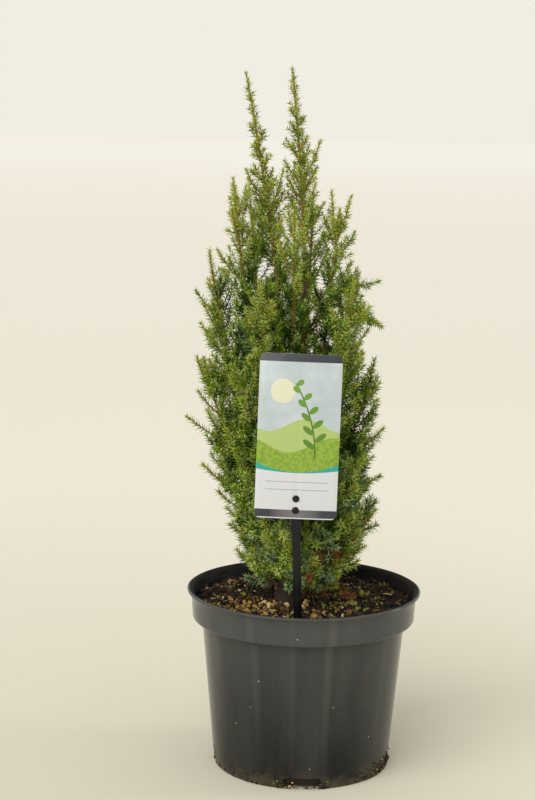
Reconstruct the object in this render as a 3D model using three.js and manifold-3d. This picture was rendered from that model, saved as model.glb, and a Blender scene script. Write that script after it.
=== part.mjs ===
// A compact common juniper in a round nursery pot, with its plain plant label.
// Millimetres, +Z up. The origin is the middle of the pot's flat underside, and -Y is the side of the label.
// Every limb is a Bezier curve, and the foliage grows on the limbs by one seeded rule.

import * as THREE from "three";
import { mergeVertices } from "three/addons/utils/BufferGeometryUtils.js";
import Module from "manifold-3d";

const wasm = await Module();
wasm.setup();

// Driving dimensions
const GAP = 0.3; // clearance kept between pieces that touch
const WELD = 1e-3; // corners nearer than this are one corner
const POT_HEIGHT = 146;
const RIM_RADIUS = 95;
const BASE_RADIUS = 71;
const FOOT_RADIUS = 72.6; // where the straight wall begins, at the height of FOOT_HEIGHT
const FOOT_HEIGHT = 12;
const BODY_RADIUS = 82.5; // just under the rim band
const BAND_RADIUS = 90.4; // at the band's foot
const BAND_HEIGHT = 23.5;
const SHOULDER_HEIGHT = 2.5;
const WALL = 1.6;
const FLOOR = 3;
const POT_SEGMENTS = 36;
const NOTCH = { count: 4, width: 30, height: 9.5, depth: 14 };

const SOIL_TOP = 134;
const SOIL_SEGMENTS = 28;
const SOIL_RINGS = [72, 54, 36, 18];

const TRUNK = {
  foot: [-14, 0],
  top: [-5, 3, 420],
  lowerPull: [-14, 0, 230],
  upperPull: [0, 2, 330],
  footRadius: 6.6,
  tipRadius: 1.8,
  flare: 4.6,
  flareHeight: 9,
};
const CROWN_AXIS = [-17, 0];
const LEADER_TIPS = { right: [-17, -2, 562], left: [-53, -6, 558] };
// Heights of the crown's outline, and its reach out from the crown's axis on the right and on the left
const CROWN_OUTLINE = [
  [139, 36, 28],
  [160, 57, 34],
  [182, 72, 40],
  [215, 83, 54],
  [270, 87, 65],
  [330, 81, 75],
  [370, 80, 76],
  [400, 75, 73],
  [440, 59, 59],
  [475, 52, 55],
  [500, 36, 48],
  [570, 30, 44],
];

// Rings of limbs from the pot upwards. start is the height on the trunk. tipHeight and reach are those of a
// limb's own tip, on the right and on the left. bare is the share of a limb that is a bough before its foliage.
// swing is the azimuth of the first limb. twigs and twig are the number and length of a limb's twigs, and core
// the radius of the dense middle of its foliage.
const ring = (name, count, start, tipHeight, reach, bare, swing, twigs, twig, core) => {
  return { name, count, start, tipHeight, reach, bare, swing, twigs, twig, core };
};
const RINGS = [
  ring("foot", 5, 145, [168, 180], [56, 32], 0, 0, 8, 27, 3.5),
  ring("skirt", 5, 154, [218, 206], [76, 38], 0, -18, 11, 33, 4.5),
  ring("low", 5, 166, [264, 272], [75, 55], 0.2, 32, 13, 37, 5),
  ring("waist", 6, 179, [318, 331], [67, 66], 0.25, -4, 12, 38, 5),
  ring("shoulder", 5, 193, [400, 406], [68, 62], 0.3, 32, 14, 40, 4.5),
  ring("neck", 5, 209, [454, 480], [40, 49], 0.38, -9, 14, 36, 3.5),
];
// last is the share of a stem, short of its tip, that carries twigs.
const LIMB = { spread: 0.62, climb: 0.3, thick: 2.7, narrowing: 0.5, last: 0.87 };
const LEADER = {
  start: 226,
  bare: 0.5,
  spread: 0.2,
  climb: 0.5,
  thick: 3.2,
  narrowing: 0.86,
  last: 0.72,
  twigs: 15,
  twig: 27,
  core: 2.2,
};
const STEM_RADIUS = 1.5; // of a mass's stem where it leaves its bough
// Places along a core, and its share of the full width there
const CORE_SWELL = [
  [0.14, 0.8],
  [0.45, 1],
  [0.8, 0.8],
  [1, 0.3],
];
const NEEDLE = { reach: 5.6, forward: 3.6, spacing: 8, neck: 1.5 }; // whorls of three needles along a shoot
const STRAY_REACH = 40; // length of a shoot that stands out of the crown on its own
const STRAY_TIPS = [
  [54, -10, 398],
  [57, -6, 362],
  [52, -12, 336],
  [61, -4, 279],
  [60, 6, 238],
  [31, -4, 464],
  [16, 8, 467],
  [6, -3, 507],
  [-23, -8, 484],
  [-52, -10, 484],
  [-63, 6, 471],
  [-80, -8, 420],
  [-84, -6, 378],
  [-89, -4, 334],
  [-96, -4, 286],
  [-83, -4, 247],
];
const CLEAR = 0.5; // kept between two masses, and between foliage and limbs
const TURN = 2.39996; // the golden angle, between one twig and the next

const CARD = {
  width: 63,
  height: 126.5,
  thickness: 0.8,
  corner: 4,
  foot: [-9.6, -83, 221.5], // the middle of its lower edge
  leanBack: 0.05,
  roll: 0.0224,
};
const STICK = { foot: [-5.5, -61], top: [-9.6, -81.2, 241], width: 6.6, thickness: 2.2, below: 42 };
const STUD = { radius: 2.4, heights: [15.5, 6.5], stand: 1.6 };
const LABEL_SPACE = { left: -46, right: 30, high: 352, front: -70 };

// Looks
const paint = (color, roughness) => new THREE.MeshStandardMaterial({ color, roughness, metalness: 0 });
const POT_PLASTIC = paint(0x3b3c39, 0.42);
const COMPOST = paint(0x3a2a1c, 0.95);
const BARK = paint(0x5b4030, 0.9);
const NEEDLES = paint(0x5d7a34, 0.75);
const CARD_WHITE = paint(0xe9e8e4, 0.4);
const STICK_PLASTIC = paint(0x1c1d1f, 0.45);

const part = new THREE.Group();

function addPiece(name, geometry, material) {
  const mesh = new THREE.Mesh(geometry, material);
  mesh.name = name;
  part.add(mesh);
}

// Solids

function toSolid(geometry) {
  const bare = geometry.clone();
  bare.deleteAttribute("normal");
  bare.deleteAttribute("uv");
  const merged = mergeVertices(bare, WELD);
  return new wasm.Manifold(
    new wasm.Mesh({
      numProp: 3,
      vertProperties: merged.attributes.position.array,
      triVerts: new Uint32Array(merged.index.array),
    }),
  );
}

function toGeometry(solid) {
  const { vertProperties, triVerts } = solid.getMesh();
  return new THREE.BufferGeometry()
    .setAttribute("position", new THREE.BufferAttribute(vertProperties, 3))
    .setIndex(new THREE.BufferAttribute(triVerts, 1));
}

const fuse = (solids) => solids.reduce((whole, next) => whole.add(next));

function largestPiece(solid) {
  return solid.decompose().reduce((best, next) => (next.volume() > best.volume() ? next : best));
}

// A fused solid with its corners welded, without the scraps that come loose
const settled = (solid) => largestPiece(toSolid(toGeometry(largestPiece(solid))));

// Whether every edge still has its two faces once the corners are rounded, which a join that only grazes can spoil
function staysClosed(solid) {
  const { attributes, index } = mergeVertices(toGeometry(solid), WELD);
  const name = (i) => [0, 1, 2].map((axis) => attributes.position.array[3 * i + axis].toFixed(4)).join();
  const edges = new Map();
  for (let i = 0; i < index.count; i += 3) {
    const corners = [0, 1, 2].map((j) => name(index.array[i + j]));
    if (new Set(corners).size < 3) continue;
    for (let j = 0; j < 3; j++) {
      const edge = [corners[j], corners[(j + 1) % 3]].sort().join(" ");
      edges.set(edge, (edges.get(edge) || 0) + 1);
    }
  }
  return [...edges.values()].every((faces) => faces === 2);
}

// A solid of revolution about Z from an outline of [radius, height] pairs
function turned(outline, segments) {
  const points = outline.map(([r, z]) => new THREE.Vector2(r, z));
  return new THREE.LatheGeometry(points, segments).rotateX(Math.PI / 2);
}

// A skin over rings of corners round a curve. Each ring has its place t on the curve, a radius and a turn. A ring
// of no radius is a point, which closes the root or the tip. side is a unit vector across the curve's plane.
function skin(curve, rings, side, sides) {
  const points = [];
  const faces = [];
  const starts = [];
  for (const { t, radius, turn } of rings) {
    starts.push(points.length / 3);
    const centre = curve.getPoint(t);
    const out = new THREE.Vector3().crossVectors(side, curve.getTangent(t)).normalize();
    for (let j = 0; j < (radius ? sides : 1); j++) {
      const angle = (turn || 0) + (2 * Math.PI * j) / sides;
      const point = centre.clone().addScaledVector(out, Math.cos(angle) * radius);
      points.push(...point.addScaledVector(side, Math.sin(angle) * radius).toArray());
    }
  }
  const corner = (k, j) => (rings[k].radius ? starts[k] + (j % sides) : starts[k]);
  for (let k = 0; k + 1 < rings.length; k++) {
    for (let j = 0; j < sides; j++) {
      const [a, b, c, d] = [corner(k, j), corner(k, j + 1), corner(k + 1, j + 1), corner(k + 1, j)];
      if (a !== b) faces.push(a, b, c);
      if (c !== d) faces.push(a, c, d);
    }
  }
  for (let j = 1; j + 1 < sides; j++) {
    if (rings[0].radius) faces.push(corner(0, 0), corner(0, j + 1), corner(0, j));
    const end = rings.length - 1;
    if (rings[end].radius) faces.push(corner(end, 0), corner(end, j), corner(end, j + 1));
  }
  return new THREE.BufferGeometry()
    .setAttribute("position", new THREE.Float32BufferAttribute(points, 3))
    .setIndex(faces);
}

function limb(curve, radiusAt, side, sides, steps) {
  const rings = Array.from({ length: steps + 1 }, (_, k) => ({ t: k / steps, radius: radiusAt(k / steps) }));
  return skin(curve, rings, side, sides);
}

// The part of a curve between two places on it
function stretch(curve, from, to) {
  return {
    getPoint: (k) => curve.getPoint(mix(from, to, k)),
    getTangent: (k) => curve.getTangent(mix(from, to, k)),
  };
}

// Numbers and vectors

// Every seeded choice comes from this generator, so the same seed always gives the same plant.
function makeRandom(seed) {
  let state = seed >>> 0;
  const next = () => {
    state = (Math.imul(state, 1664525) + 1013904223) >>> 0;
    return state / 4294967296;
  };
  next();
  next();
  return next;
}

const vector = (x, y, z) => new THREE.Vector3(x, y, z);
const UP = vector(0, 0, 1);
const mix = (a, b, share) => a + (b - a) * share;

function unitAcross(direction, other) {
  const across = new THREE.Vector3().crossVectors(direction, other);
  return across.lengthSq() < 1e-6 ? vector(1, 0, 0) : across.normalize();
}

// How far a limb or point lies to the left: 0 on the right, a half in front and behind, and 1 on the left
const leftness = (cosine) => (1 - cosine) / 2;

// The crown's reach at a height, towards a side
function crownReach(height, left) {
  const reaches = CROWN_OUTLINE.map(([, ...sides]) => mix(...sides, left));
  const above = CROWN_OUTLINE.findIndex(([z]) => height <= z);
  if (above === 0) return reaches[0];
  if (above < 0) return reaches[reaches.length - 1];
  const [z0] = CROWN_OUTLINE[above - 1];
  const [z1] = CROWN_OUTLINE[above];
  return mix(reaches[above - 1], reaches[above], (height - z0) / (z1 - z0));
}

// A limb's centre line and radius, sampled for the tests of distance
function samples(curve, radiusAt, from, to, count) {
  return Array.from({ length: count + 1 }, (_, k) => {
    const t = mix(from, to, k / count);
    return { point: curve.getPoint(t), radius: radiusAt(t) };
  });
}

function distanceToLine(point, line) {
  let best = Infinity;
  const along = vector(0, 0, 0);
  const nearest = vector(0, 0, 0);
  for (let k = 0; k + 1 < line.length; k++) {
    const a = line[k].point;
    const b = line[k + 1].point;
    along.subVectors(b, a);
    const share = Math.min(1, Math.max(0, nearest.subVectors(point, a).dot(along) / along.lengthSq()));
    nearest.copy(a).addScaledVector(along, share);
    best = Math.min(best, nearest.distanceTo(point) - mix(line[k].radius, line[k + 1].radius, share));
  }
  return best;
}

// Pot, soil and trunk

function makePot() {
  const bandFoot = POT_HEIGHT - BAND_HEIGHT;
  const bodyTop = bandFoot - SHOULDER_HEIGHT;
  const outline = [
    [0, 0],
    [BASE_RADIUS - 1, 0],
    [BASE_RADIUS, 1],
    [FOOT_RADIUS, FOOT_HEIGHT],
    [BODY_RADIUS, bodyTop],
    [BAND_RADIUS - 1, bandFoot - 0.8],
    [BAND_RADIUS, bandFoot + 0.6],
    [RIM_RADIUS - 3.5, POT_HEIGHT - 3.8],
    [RIM_RADIUS - 0.6, POT_HEIGHT - 2.3],
    [RIM_RADIUS, POT_HEIGHT - 1.2],
    [RIM_RADIUS - 1, POT_HEIGHT],
    [RIM_RADIUS - 3.6, POT_HEIGHT - 0.6],
    [RIM_RADIUS - 3.5 - WALL, POT_HEIGHT - 3.2],
    [BAND_RADIUS - WALL, bandFoot + 1],
    [BODY_RADIUS - WALL, bodyTop + 1],
    [FOOT_RADIUS - WALL, FOOT_HEIGHT],
    [BASE_RADIUS - WALL, FLOOR],
    [0, FLOOR],
  ];
  let pot = toSolid(turned(outline, POT_SEGMENTS));
  for (let i = 0; i < NOTCH.count; i++) {
    const notch = new THREE.BoxGeometry(NOTCH.width, NOTCH.depth, NOTCH.height * 2);
    notch.translate(0, -BASE_RADIUS, 0).rotateZ((i * 2 * Math.PI) / NOTCH.count);
    pot = pot.subtract(toSolid(notch));
  }
  return pot;
}

// Gentle heaps of compost, flat at the trunk's foot
function soilRelief(x, y) {
  const fromFoot = Math.hypot(x - TRUNK.foot[0], y - TRUNK.foot[1]);
  const heaps = 1.3 * Math.sin(x / 9 + 1) * Math.cos(y / 8) + 0.7 * Math.sin(x / 4.1 + y / 5.3);
  return heaps * Math.min(1, Math.max(0, (fromFoot - 16) / 14));
}

function makeSoil() {
  const bandFoot = POT_HEIGHT - BAND_HEIGHT;
  const outline = [
    [0, FLOOR + GAP],
    [BASE_RADIUS - WALL - GAP - 0.3, FLOOR + GAP],
    [FOOT_RADIUS - WALL - 2 * GAP, FOOT_HEIGHT],
    [BODY_RADIUS - WALL - 2 * GAP, bandFoot - SHOULDER_HEIGHT + 1.2],
    [BAND_RADIUS - WALL - 2 * GAP, bandFoot + 1.6],
    [BAND_RADIUS - WALL - GAP, SOIL_TOP - 1],
    ...SOIL_RINGS.map((r) => [r, SOIL_TOP]),
    [0, SOIL_TOP],
  ];
  const geometry = turned(outline, SOIL_SEGMENTS);
  const position = geometry.attributes.position;
  for (let i = 0; i < position.count; i++) {
    if (position.getZ(i) > SOIL_TOP - 0.5) {
      position.setZ(i, SOIL_TOP + soilRelief(position.getX(i), position.getY(i)));
    }
  }
  return toSolid(geometry).subtract(stickBar(GAP));
}

const trunkCurve = new THREE.CubicBezierCurve3(
  vector(TRUNK.foot[0], TRUNK.foot[1], SOIL_TOP + GAP),
  vector(...TRUNK.lowerPull),
  vector(...TRUNK.upperPull),
  vector(...TRUNK.top),
);

function trunkRadius(t) {
  const height = t * (TRUNK.top[2] - SOIL_TOP);
  return mix(TRUNK.footRadius, TRUNK.tipRadius, t) + TRUNK.flare * Math.exp(-height / TRUNK.flareHeight);
}

// The place on the trunk's centre line at a height, found by halving
function trunkAt(height) {
  let low = 0;
  let high = 1;
  for (let k = 0; k < 24; k++) {
    const middle = (low + high) / 2;
    if (trunkCurve.getPoint(middle).z < height) low = middle;
    else high = middle;
  }
  return trunkCurve.getPoint(low);
}

// The trunk's rings stand closer together at the root flare.
function makeTrunk(extra) {
  const curve = {
    getPoint: (k) => trunkCurve.getPoint(k ** 1.7),
    getTangent: (k) => trunkCurve.getTangent(k ** 1.7),
  };
  const radius = (k) => trunkRadius(k ** 1.7) + extra;
  return toSolid(limb(curve, radius, vector(0, 1, 0), 9, 12));
}

// The label and its stick

// Turns a shape drawn in X and Y so that X runs across, Y along and Z out of its face.
function placed(geometry, across, along, at) {
  const facing = new THREE.Vector3().crossVectors(across, along);
  return toSolid(geometry.applyMatrix4(new THREE.Matrix4().makeBasis(across, along, facing).setPosition(at)));
}

// A flat bar with a pointed foot, larger all round by extra
function stickBar(extra) {
  const foot = vector(STICK.foot[0], STICK.foot[1], SOIL_TOP);
  const length = vector(...STICK.top).distanceTo(foot);
  const along = vector(...STICK.top).sub(foot).normalize();
  const across = unitAcross(vector(0, 1, 0), along);
  const half = STICK.width / 2 + extra;
  const outline = new THREE.Shape();
  outline.moveTo(-half, length + extra);
  outline.lineTo(-half, -STICK.below + 12);
  outline.lineTo(0, -STICK.below - extra);
  outline.lineTo(half, -STICK.below + 12);
  outline.lineTo(half, length + extra);
  const depth = STICK.thickness + 2 * extra;
  const bar = new THREE.ExtrudeGeometry(outline, { depth, bevelEnabled: false });
  return placed(bar.translate(0, 0, -depth / 2), across, along, foot);
}

// A card with cut upper corners and rounded lower ones, lying in its own X and Y
function cardOutline() {
  const { width, height, corner } = CARD;
  const half = width / 2;
  const outline = new THREE.Shape();
  outline.moveTo(-half + corner, 0);
  outline.lineTo(half - corner, 0);
  outline.absarc(half - corner, corner, corner, -Math.PI / 2, 0, false);
  outline.lineTo(half, height - corner);
  outline.lineTo(half - corner, height);
  outline.lineTo(-half + corner, height);
  outline.lineTo(-half, height - corner);
  outline.absarc(-half + corner, corner, corner, Math.PI, Math.PI * 1.5, false);
  return outline;
}

function onCard(geometry) {
  const along = vector(Math.sin(CARD.roll), CARD.leanBack, Math.cos(CARD.roll)).normalize();
  const across = vector(Math.cos(CARD.roll), 0, -Math.sin(CARD.roll));
  return placed(geometry, across, along, vector(...CARD.foot));
}

// Round posts through the card, in line with the stick
function studs(radius, from, to) {
  return STUD.heights.map((height) => {
    const post = new THREE.CylinderGeometry(radius, radius, to - from, 10).rotateX(Math.PI / 2);
    return onCard(post.translate(0, height, (from + to) / 2));
  });
}

function makeCard() {
  const settings = { depth: CARD.thickness, bevelEnabled: false, curveSegments: 4 };
  const sheet = new THREE.ExtrudeGeometry(cardOutline(), settings);
  const holes = studs(STUD.radius + GAP, -2, CARD.thickness + 2);
  return onCard(sheet).subtract(fuse(holes));
}

// The bar ends behind the card, and the studs run on through it.
function makeStick() {
  const pegs = studs(STUD.radius, -STICK.thickness - 1, CARD.thickness + STUD.stand);
  const room = onCard(new THREE.BoxGeometry(STICK.width * 3, 60, 8).translate(0, 12, 4 - GAP));
  return fuse([largestPiece(stickBar(0).subtract(room)), ...pegs]);
}

// Limbs

const trunkLine = samples(trunkCurve, trunkRadius, 0, 1, 24);
const boughs = [];
const masses = [];

// A limb leaves the trunk outwards and turns up to its tip. Its first share is a bare bough, and the rest a
// mass's stem.
function addLimb(name, tip, facts) {
  const foot = trunkAt(facts.start);
  const out = vector(tip.x - foot.x, tip.y - foot.y, 0);
  const pull = foot.clone().addScaledVector(out, facts.spread);
  pull.z = mix(foot.z, tip.z, facts.climb);
  const curve = new THREE.QuadraticBezierCurve3(foot, pull, tip);
  const side = unitAcross(out.normalize(), UP);
  if (facts.bare) {
    const radiusAt = (t) => mix(facts.thick, STEM_RADIUS, t / facts.bare);
    const line = samples(curve, radiusAt, 0, facts.bare, 8);
    boughs.push({ name: `${name}_bough`, curve, bare: facts.bare, radiusAt, side, line });
  }
  addMass(name, curve, facts.bare ? facts.bare + GAP / curve.getLength() : 0, side, facts);
}

// sprout is where twigs begin, clear of the trunk.
function addMass(name, curve, from, side, facts) {
  const line = samples(curve, () => 0, from, 1, 10);
  let sprout = from;
  while (distanceToLine(curve.getPoint(sprout), trunkLine) < STEM_RADIUS) sprout += 0.01;
  masses.push({ ...facts, name: `${name}_foliage`, curve, from, sprout, length: curve.getLength(), side, line });
}

function makeLimbs() {
  for (const [k, facts] of RINGS.entries()) {
    const random = makeRandom(101 + 17 * k);
    for (let i = 0; i < facts.count; i++) {
      const degrees = facts.swing + (360 * i) / facts.count + 14 * (random() - 0.5);
      const azimuth = THREE.MathUtils.degToRad(degrees);
      const left = leftness(Math.cos(azimuth));
      const shift = 16 * (random() - 0.5) * Math.abs(Math.sin(azimuth));
      const reach = mix(...facts.reach, left) * mix(0.9, 1, Math.abs(Math.cos(azimuth)));
      const tip = vector(...CROWN_AXIS, mix(...facts.tipHeight, left) + shift);
      tip.add(vector(reach * Math.cos(azimuth), reach * Math.sin(azimuth), 0));
      const thick = LIMB.thick - 0.12 * (RINGS.length - k);
      addLimb(`${facts.name}_${i + 1}`, tip, { ...LIMB, ...facts, thick, seed: 1000 * (k + 1) + 37 * i });
    }
  }
  addLimb("left_leader", vector(...LEADER_TIPS.left), { ...LEADER, seed: 7001 });
}

// The right leader's foliage stands on the trunk's own tip.
function addTrunkTip() {
  const onward = trunkCurve.getTangent(1);
  const foot = trunkCurve.getPoint(1).addScaledVector(onward, GAP);
  const tip = vector(...LEADER_TIPS.right);
  const pull = foot.clone().addScaledVector(onward, foot.distanceTo(tip) * 0.5);
  const curve = new THREE.QuadraticBezierCurve3(foot, pull, tip);
  addMass("right_leader", curve, 0, vector(0, 1, 0), { ...LEADER, seed: 7101 });
}

// Foliage

function crownRoom(point) {
  const outward = Math.hypot(point.x - CROWN_AXIS[0], point.y - CROWN_AXIS[1]) + 1e-6;
  return crownReach(point.z, leftness((point.x - CROWN_AXIS[0]) / outward)) - outward;
}

// Whether a point lies in the mass's own space: nearer its stem than any other, inside the crown's outline, above
// the soil and behind the label
function inOwnSpace(mass, point) {
  if (crownRoom(point) < 0 || point.z < SOIL_TOP + 5) return false;
  const { left, right, high, front } = LABEL_SPACE;
  if (point.x > left && point.x < right && point.z < high && point.y < front) return false;
  const own = distanceToLine(point, mass.line);
  return masses.every((other) => other === mass || distanceToLine(point, other.line) > own + CLEAR);
}

// The radius that is free round a place on a stem, between the other stems, the limbs, the label and the soil
function freeRadius(mass, point) {
  const stems = masses.filter((other) => other !== mass).map((other) => distanceToLine(point, other.line));
  const limbs = [trunkLine, ...boughs.map((bough) => bough.line)].map((line) => distanceToLine(point, line));
  const label = point.z < LABEL_SPACE.high ? point.y - LABEL_SPACE.front : Infinity;
  const between = Math.min(Math.min(...stems) / 2, Math.min(...limbs)) - CLEAR;
  return Math.max(1, Math.min(between, crownRoom(point) + 6, label, point.z - SOIL_TOP - 4));
}

const meets = (solid, others) => others.some((other) => solid.intersect(other).volume() > 0);

// A twig leaves its stem at an angle, and its tip turns up towards the light.
function twigCurve(start, direction, length) {
  const pull = start.clone().addScaledVector(direction, length * 0.5);
  const tip = start.clone().addScaledVector(direction, length * 0.86).addScaledVector(UP, length * 0.26);
  return new THREE.QuadraticBezierCurve3(start, pull, tip);
}

function around(axis, side, angle, lean) {
  const out = new THREE.Vector3().crossVectors(side, axis).normalize();
  const radial = out.multiplyScalar(Math.cos(angle)).addScaledVector(side, Math.sin(angle));
  return axis.clone().multiplyScalar(Math.cos(lean)).addScaledVector(radial, Math.sin(lean)).normalize();
}

// Rings for whorls of three needle tips that lean forward, each with a slim neck above it, and every whorl turned
// half a step from the last. The whorls stand between a share of the curve's length and its tip, which is a point.
function whorls(length, from, reach, turn) {
  const count = Math.max(2, Math.round(((1 - from) * length) / NEEDLE.spacing));
  const step = (1 - from) / count;
  const rings = [];
  for (let w = 0; w < count; w++) {
    const t = from + w * step;
    const tips = Math.min(t + NEEDLE.forward / length, 0.985);
    const last = w === count - 1;
    const angle = turn + (w * Math.PI) / 3;
    rings.push({ t: tips, radius: reach(tips) * (last ? 0.7 : 1), turn: angle });
    if (!last) rings.push({ t: t + 0.35 * step, radius: NEEDLE.neck, turn: angle + Math.PI / 6 });
  }
  rings.push({ t: 1, radius: 0 });
  return rings;
}

// A twig's root is a point inside its stem.
function twigSolid(curve, length, side, turn) {
  const rings = [{ t: 0, radius: 0 }, ...whorls(length, 0.4, () => NEEDLE.reach, turn)];
  return toSolid(skin(curve, rings, side, 3));
}

// A mass's stem swells to a core, no wider than its neighbours and the limbs allow, and ends in whorls of
// needles.
function stemSolid(mass) {
  const curve = stretch(mass.curve, mass.from, 1);
  const length = mass.length * (1 - mass.from);
  const free = (t, wanted) => Math.min(wanted, freeRadius(mass, curve.getPoint(t)));
  const whorlsFrom = 1 - 26 / length;
  const rings = [{ t: 0, radius: STEM_RADIUS }];
  for (const [share, swell] of CORE_SWELL) {
    const t = share * whorlsFrom;
    rings.push({ t, radius: free(t, mass.core * swell) });
  }
  rings.push(...whorls(length, whorlsFrom, (t) => free(t, NEEDLE.reach), 0));
  return toSolid(skin(curve, rings, mass.side, 3));
}

// Joins a twig to its mass, unless it would touch another piece or join badly.
function joinTwig(mass, others, curve, length, side, turn) {
  const twig = twigSolid(curve, length, side, turn);
  if (meets(twig, others)) return false;
  const joined = settled(mass.solid.add(twig));
  if (!staysClosed(joined)) return false;
  mass.solid = joined;
  return true;
}

// The mass whose stem lies nearest to a place
function nearestMass(place) {
  const distances = masses.map((mass) => distanceToLine(place, mass.line));
  return masses[distances.indexOf(Math.min(...distances))];
}

// A stray shoot leaves the stem below its tip, outwards, and turns up.
function strayCurve(mass, tip) {
  const places = Array.from({ length: 41 }, (_, k) => mass.curve.getPoint(mix(mass.sprout, 0.92, k / 40)));
  const start = places.find((place) => place.distanceTo(tip) < STRAY_REACH) || places[40];
  const pull = start.clone().lerp(tip, 0.55);
  pull.z = mix(start.z, tip.z, 0.4);
  return new THREE.QuadraticBezierCurve3(start, pull, tip);
}

// The twigs of a mass: places along its stem, each turned on by the golden angle, shorter towards the tip. One
// that would leave the mass's space or can't be joined is cut shorter, and at last left out.
function growTwigs(mass, limbs) {
  const others = [...limbs, ...masses.filter((other) => other !== mass).map((other) => other.solid)];
  for (let i = 0; i < mass.twigs; i++) {
    const random = makeRandom(mass.seed + 101 * i);
    const share = (i + 0.6) / (mass.twigs + 0.6);
    const t = mix(mass.sprout, 1, 0.05 + mass.last * share);
    const start = mass.curve.getPoint(t);
    const lean = 0.62 + 0.3 * random();
    const direction = around(mass.curve.getTangent(t), mass.side, i * TURN + 0.7 * random(), lean);
    const full = mass.twig * (1.12 - mass.narrowing * share) * (0.85 + 0.3 * random());
    for (const cut of [1, 0.8, 0.62]) {
      const curve = twigCurve(start, direction, full * cut);
      if (![0.5, 0.75, 1].every((k) => inOwnSpace(mass, curve.getPoint(k)))) continue;
      if (joinTwig(mass, others, curve, full * cut, unitAcross(direction, UP), Math.PI * random())) break;
    }
  }
  const tips = STRAY_TIPS.map((place) => vector(...place));
  for (const tip of tips.filter((place) => nearestMass(place) === mass)) {
    const curve = strayCurve(mass, tip);
    joinTwig(mass, others, curve, curve.getLength(), unitAcross(curve.getTangent(0), UP), 0);
  }
}

// The whole plant in its pot

const pot = makePot();
const soil = makeSoil();
const card = makeCard();
const stick = makeStick();
addPiece("pot", toGeometry(pot), POT_PLASTIC);
addPiece("soil", toGeometry(soil), COMPOST);
addPiece("trunk", toGeometry(makeTrunk(0)), BARK);
addPiece("label_card", toGeometry(card), CARD_WHITE);
addPiece("label_stick", toGeometry(stick), STICK_PLASTIC);

makeLimbs();
addTrunkTip();
const trunkRoom = makeTrunk(GAP);
for (const bough of boughs) {
  const curve = stretch(bough.curve, 0, bough.bare);
  const whole = toSolid(limb(curve, (k) => bough.radiusAt(k * bough.bare), bough.side, 4, 4));
  bough.solid = settled(whole.subtract(trunkRoom));
  addPiece(bough.name, toGeometry(bough.solid), BARK);
}
const limbs = [pot, soil, card, stick, trunkRoom, ...boughs.map((bough) => bough.solid)];
for (const mass of masses) {
  mass.solid = settled(stemSolid(mass).subtract(trunkRoom));
}
for (const mass of masses) {
  growTwigs(mass, limbs);
  addPiece(mass.name, toGeometry(mass.solid), NEEDLES);
}

export default part;
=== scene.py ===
# A compact common juniper in a round nursery pot, with its plain plant label, dressed for close views.
# Metres, +Z up. The pot's axis is the Z axis, the floor is at zero, and -Y is the side of the label.
# The plant's own rule is worked in millimetres, as in the part's source, and its meshes are made in metres.

import math

import bmesh
import bpy
import numpy as np
from bpy.props import FloatProperty, FloatVectorProperty, IntProperty, PointerProperty
from mathutils import Matrix, Vector


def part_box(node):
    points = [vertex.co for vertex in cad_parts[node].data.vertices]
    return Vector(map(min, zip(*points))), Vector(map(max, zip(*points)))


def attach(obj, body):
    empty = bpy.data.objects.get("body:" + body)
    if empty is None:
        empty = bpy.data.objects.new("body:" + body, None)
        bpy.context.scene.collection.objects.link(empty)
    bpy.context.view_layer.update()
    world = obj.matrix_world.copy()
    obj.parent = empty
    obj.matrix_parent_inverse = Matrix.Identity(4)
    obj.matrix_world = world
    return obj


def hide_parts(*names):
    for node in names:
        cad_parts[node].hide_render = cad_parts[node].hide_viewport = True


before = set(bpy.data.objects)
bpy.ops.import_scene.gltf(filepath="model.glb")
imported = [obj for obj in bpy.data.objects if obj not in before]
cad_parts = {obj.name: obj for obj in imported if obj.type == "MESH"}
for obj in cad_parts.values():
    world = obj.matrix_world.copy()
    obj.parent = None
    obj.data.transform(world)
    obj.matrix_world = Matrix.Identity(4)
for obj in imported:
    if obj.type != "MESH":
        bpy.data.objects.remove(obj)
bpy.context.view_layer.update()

bl_info = {
    "name": "Potted Juniper",
    "version": (1, 0, 0),
    "blender": (4, 5, 0),
    "location": "3D View > Sidebar > Juniper",
    "description": "Grows a compact juniper in its nursery pot",
    "category": "Object",
}

MM = 0.001
BODY = "root"
POT_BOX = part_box("pot")

# The plant's driving dimensions, in millimetres

SOIL_TOP = 134.0
GAP = 0.3
TRUNK = {
    "foot": (-14, 0),
    "top": (-5, 3, 420),
    "lower_pull": (-14, 0, 230),
    "upper_pull": (0, 2, 330),
    "foot_radius": 6.6,
    "tip_radius": 1.8,
    "flare": 4.6,
    "flare_height": 9,
}
CROWN_AXIS = (-17, 0)
LEADER_TIPS = {"right": (-17, -2, 562), "left": (-53, -6, 558)}
# Heights of the crown's outline, and its reach out from the crown's axis on the right and on the left
CROWN_OUTLINE = (
    (139, 36, 28),
    (160, 57, 34),
    (182, 72, 40),
    (215, 83, 54),
    (270, 87, 65),
    (330, 81, 75),
    (370, 80, 76),
    (400, 75, 73),
    (440, 59, 59),
    (475, 52, 55),
    (500, 36, 48),
    (570, 30, 44),
)
# Rings of limbs from the pot upwards: count, start on the trunk, height and reach of the tips on the right
# and on the left, the bare share of a limb, the first limb's azimuth, and the number and length of its twigs
RINGS = {
    "foot": (5, 145, (168, 180), (56, 32), 0, 0, 8, 27),
    "skirt": (5, 154, (218, 206), (76, 38), 0, -18, 11, 33),
    "low": (5, 166, (264, 272), (75, 55), 0.2, 32, 13, 37),
    "waist": (6, 179, (318, 331), (67, 66), 0.25, -4, 12, 38),
    "shoulder": (5, 193, (400, 406), (68, 62), 0.3, 32, 14, 40),
    "neck": (5, 209, (454, 480), (40, 49), 0.38, -9, 14, 36),
}
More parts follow.
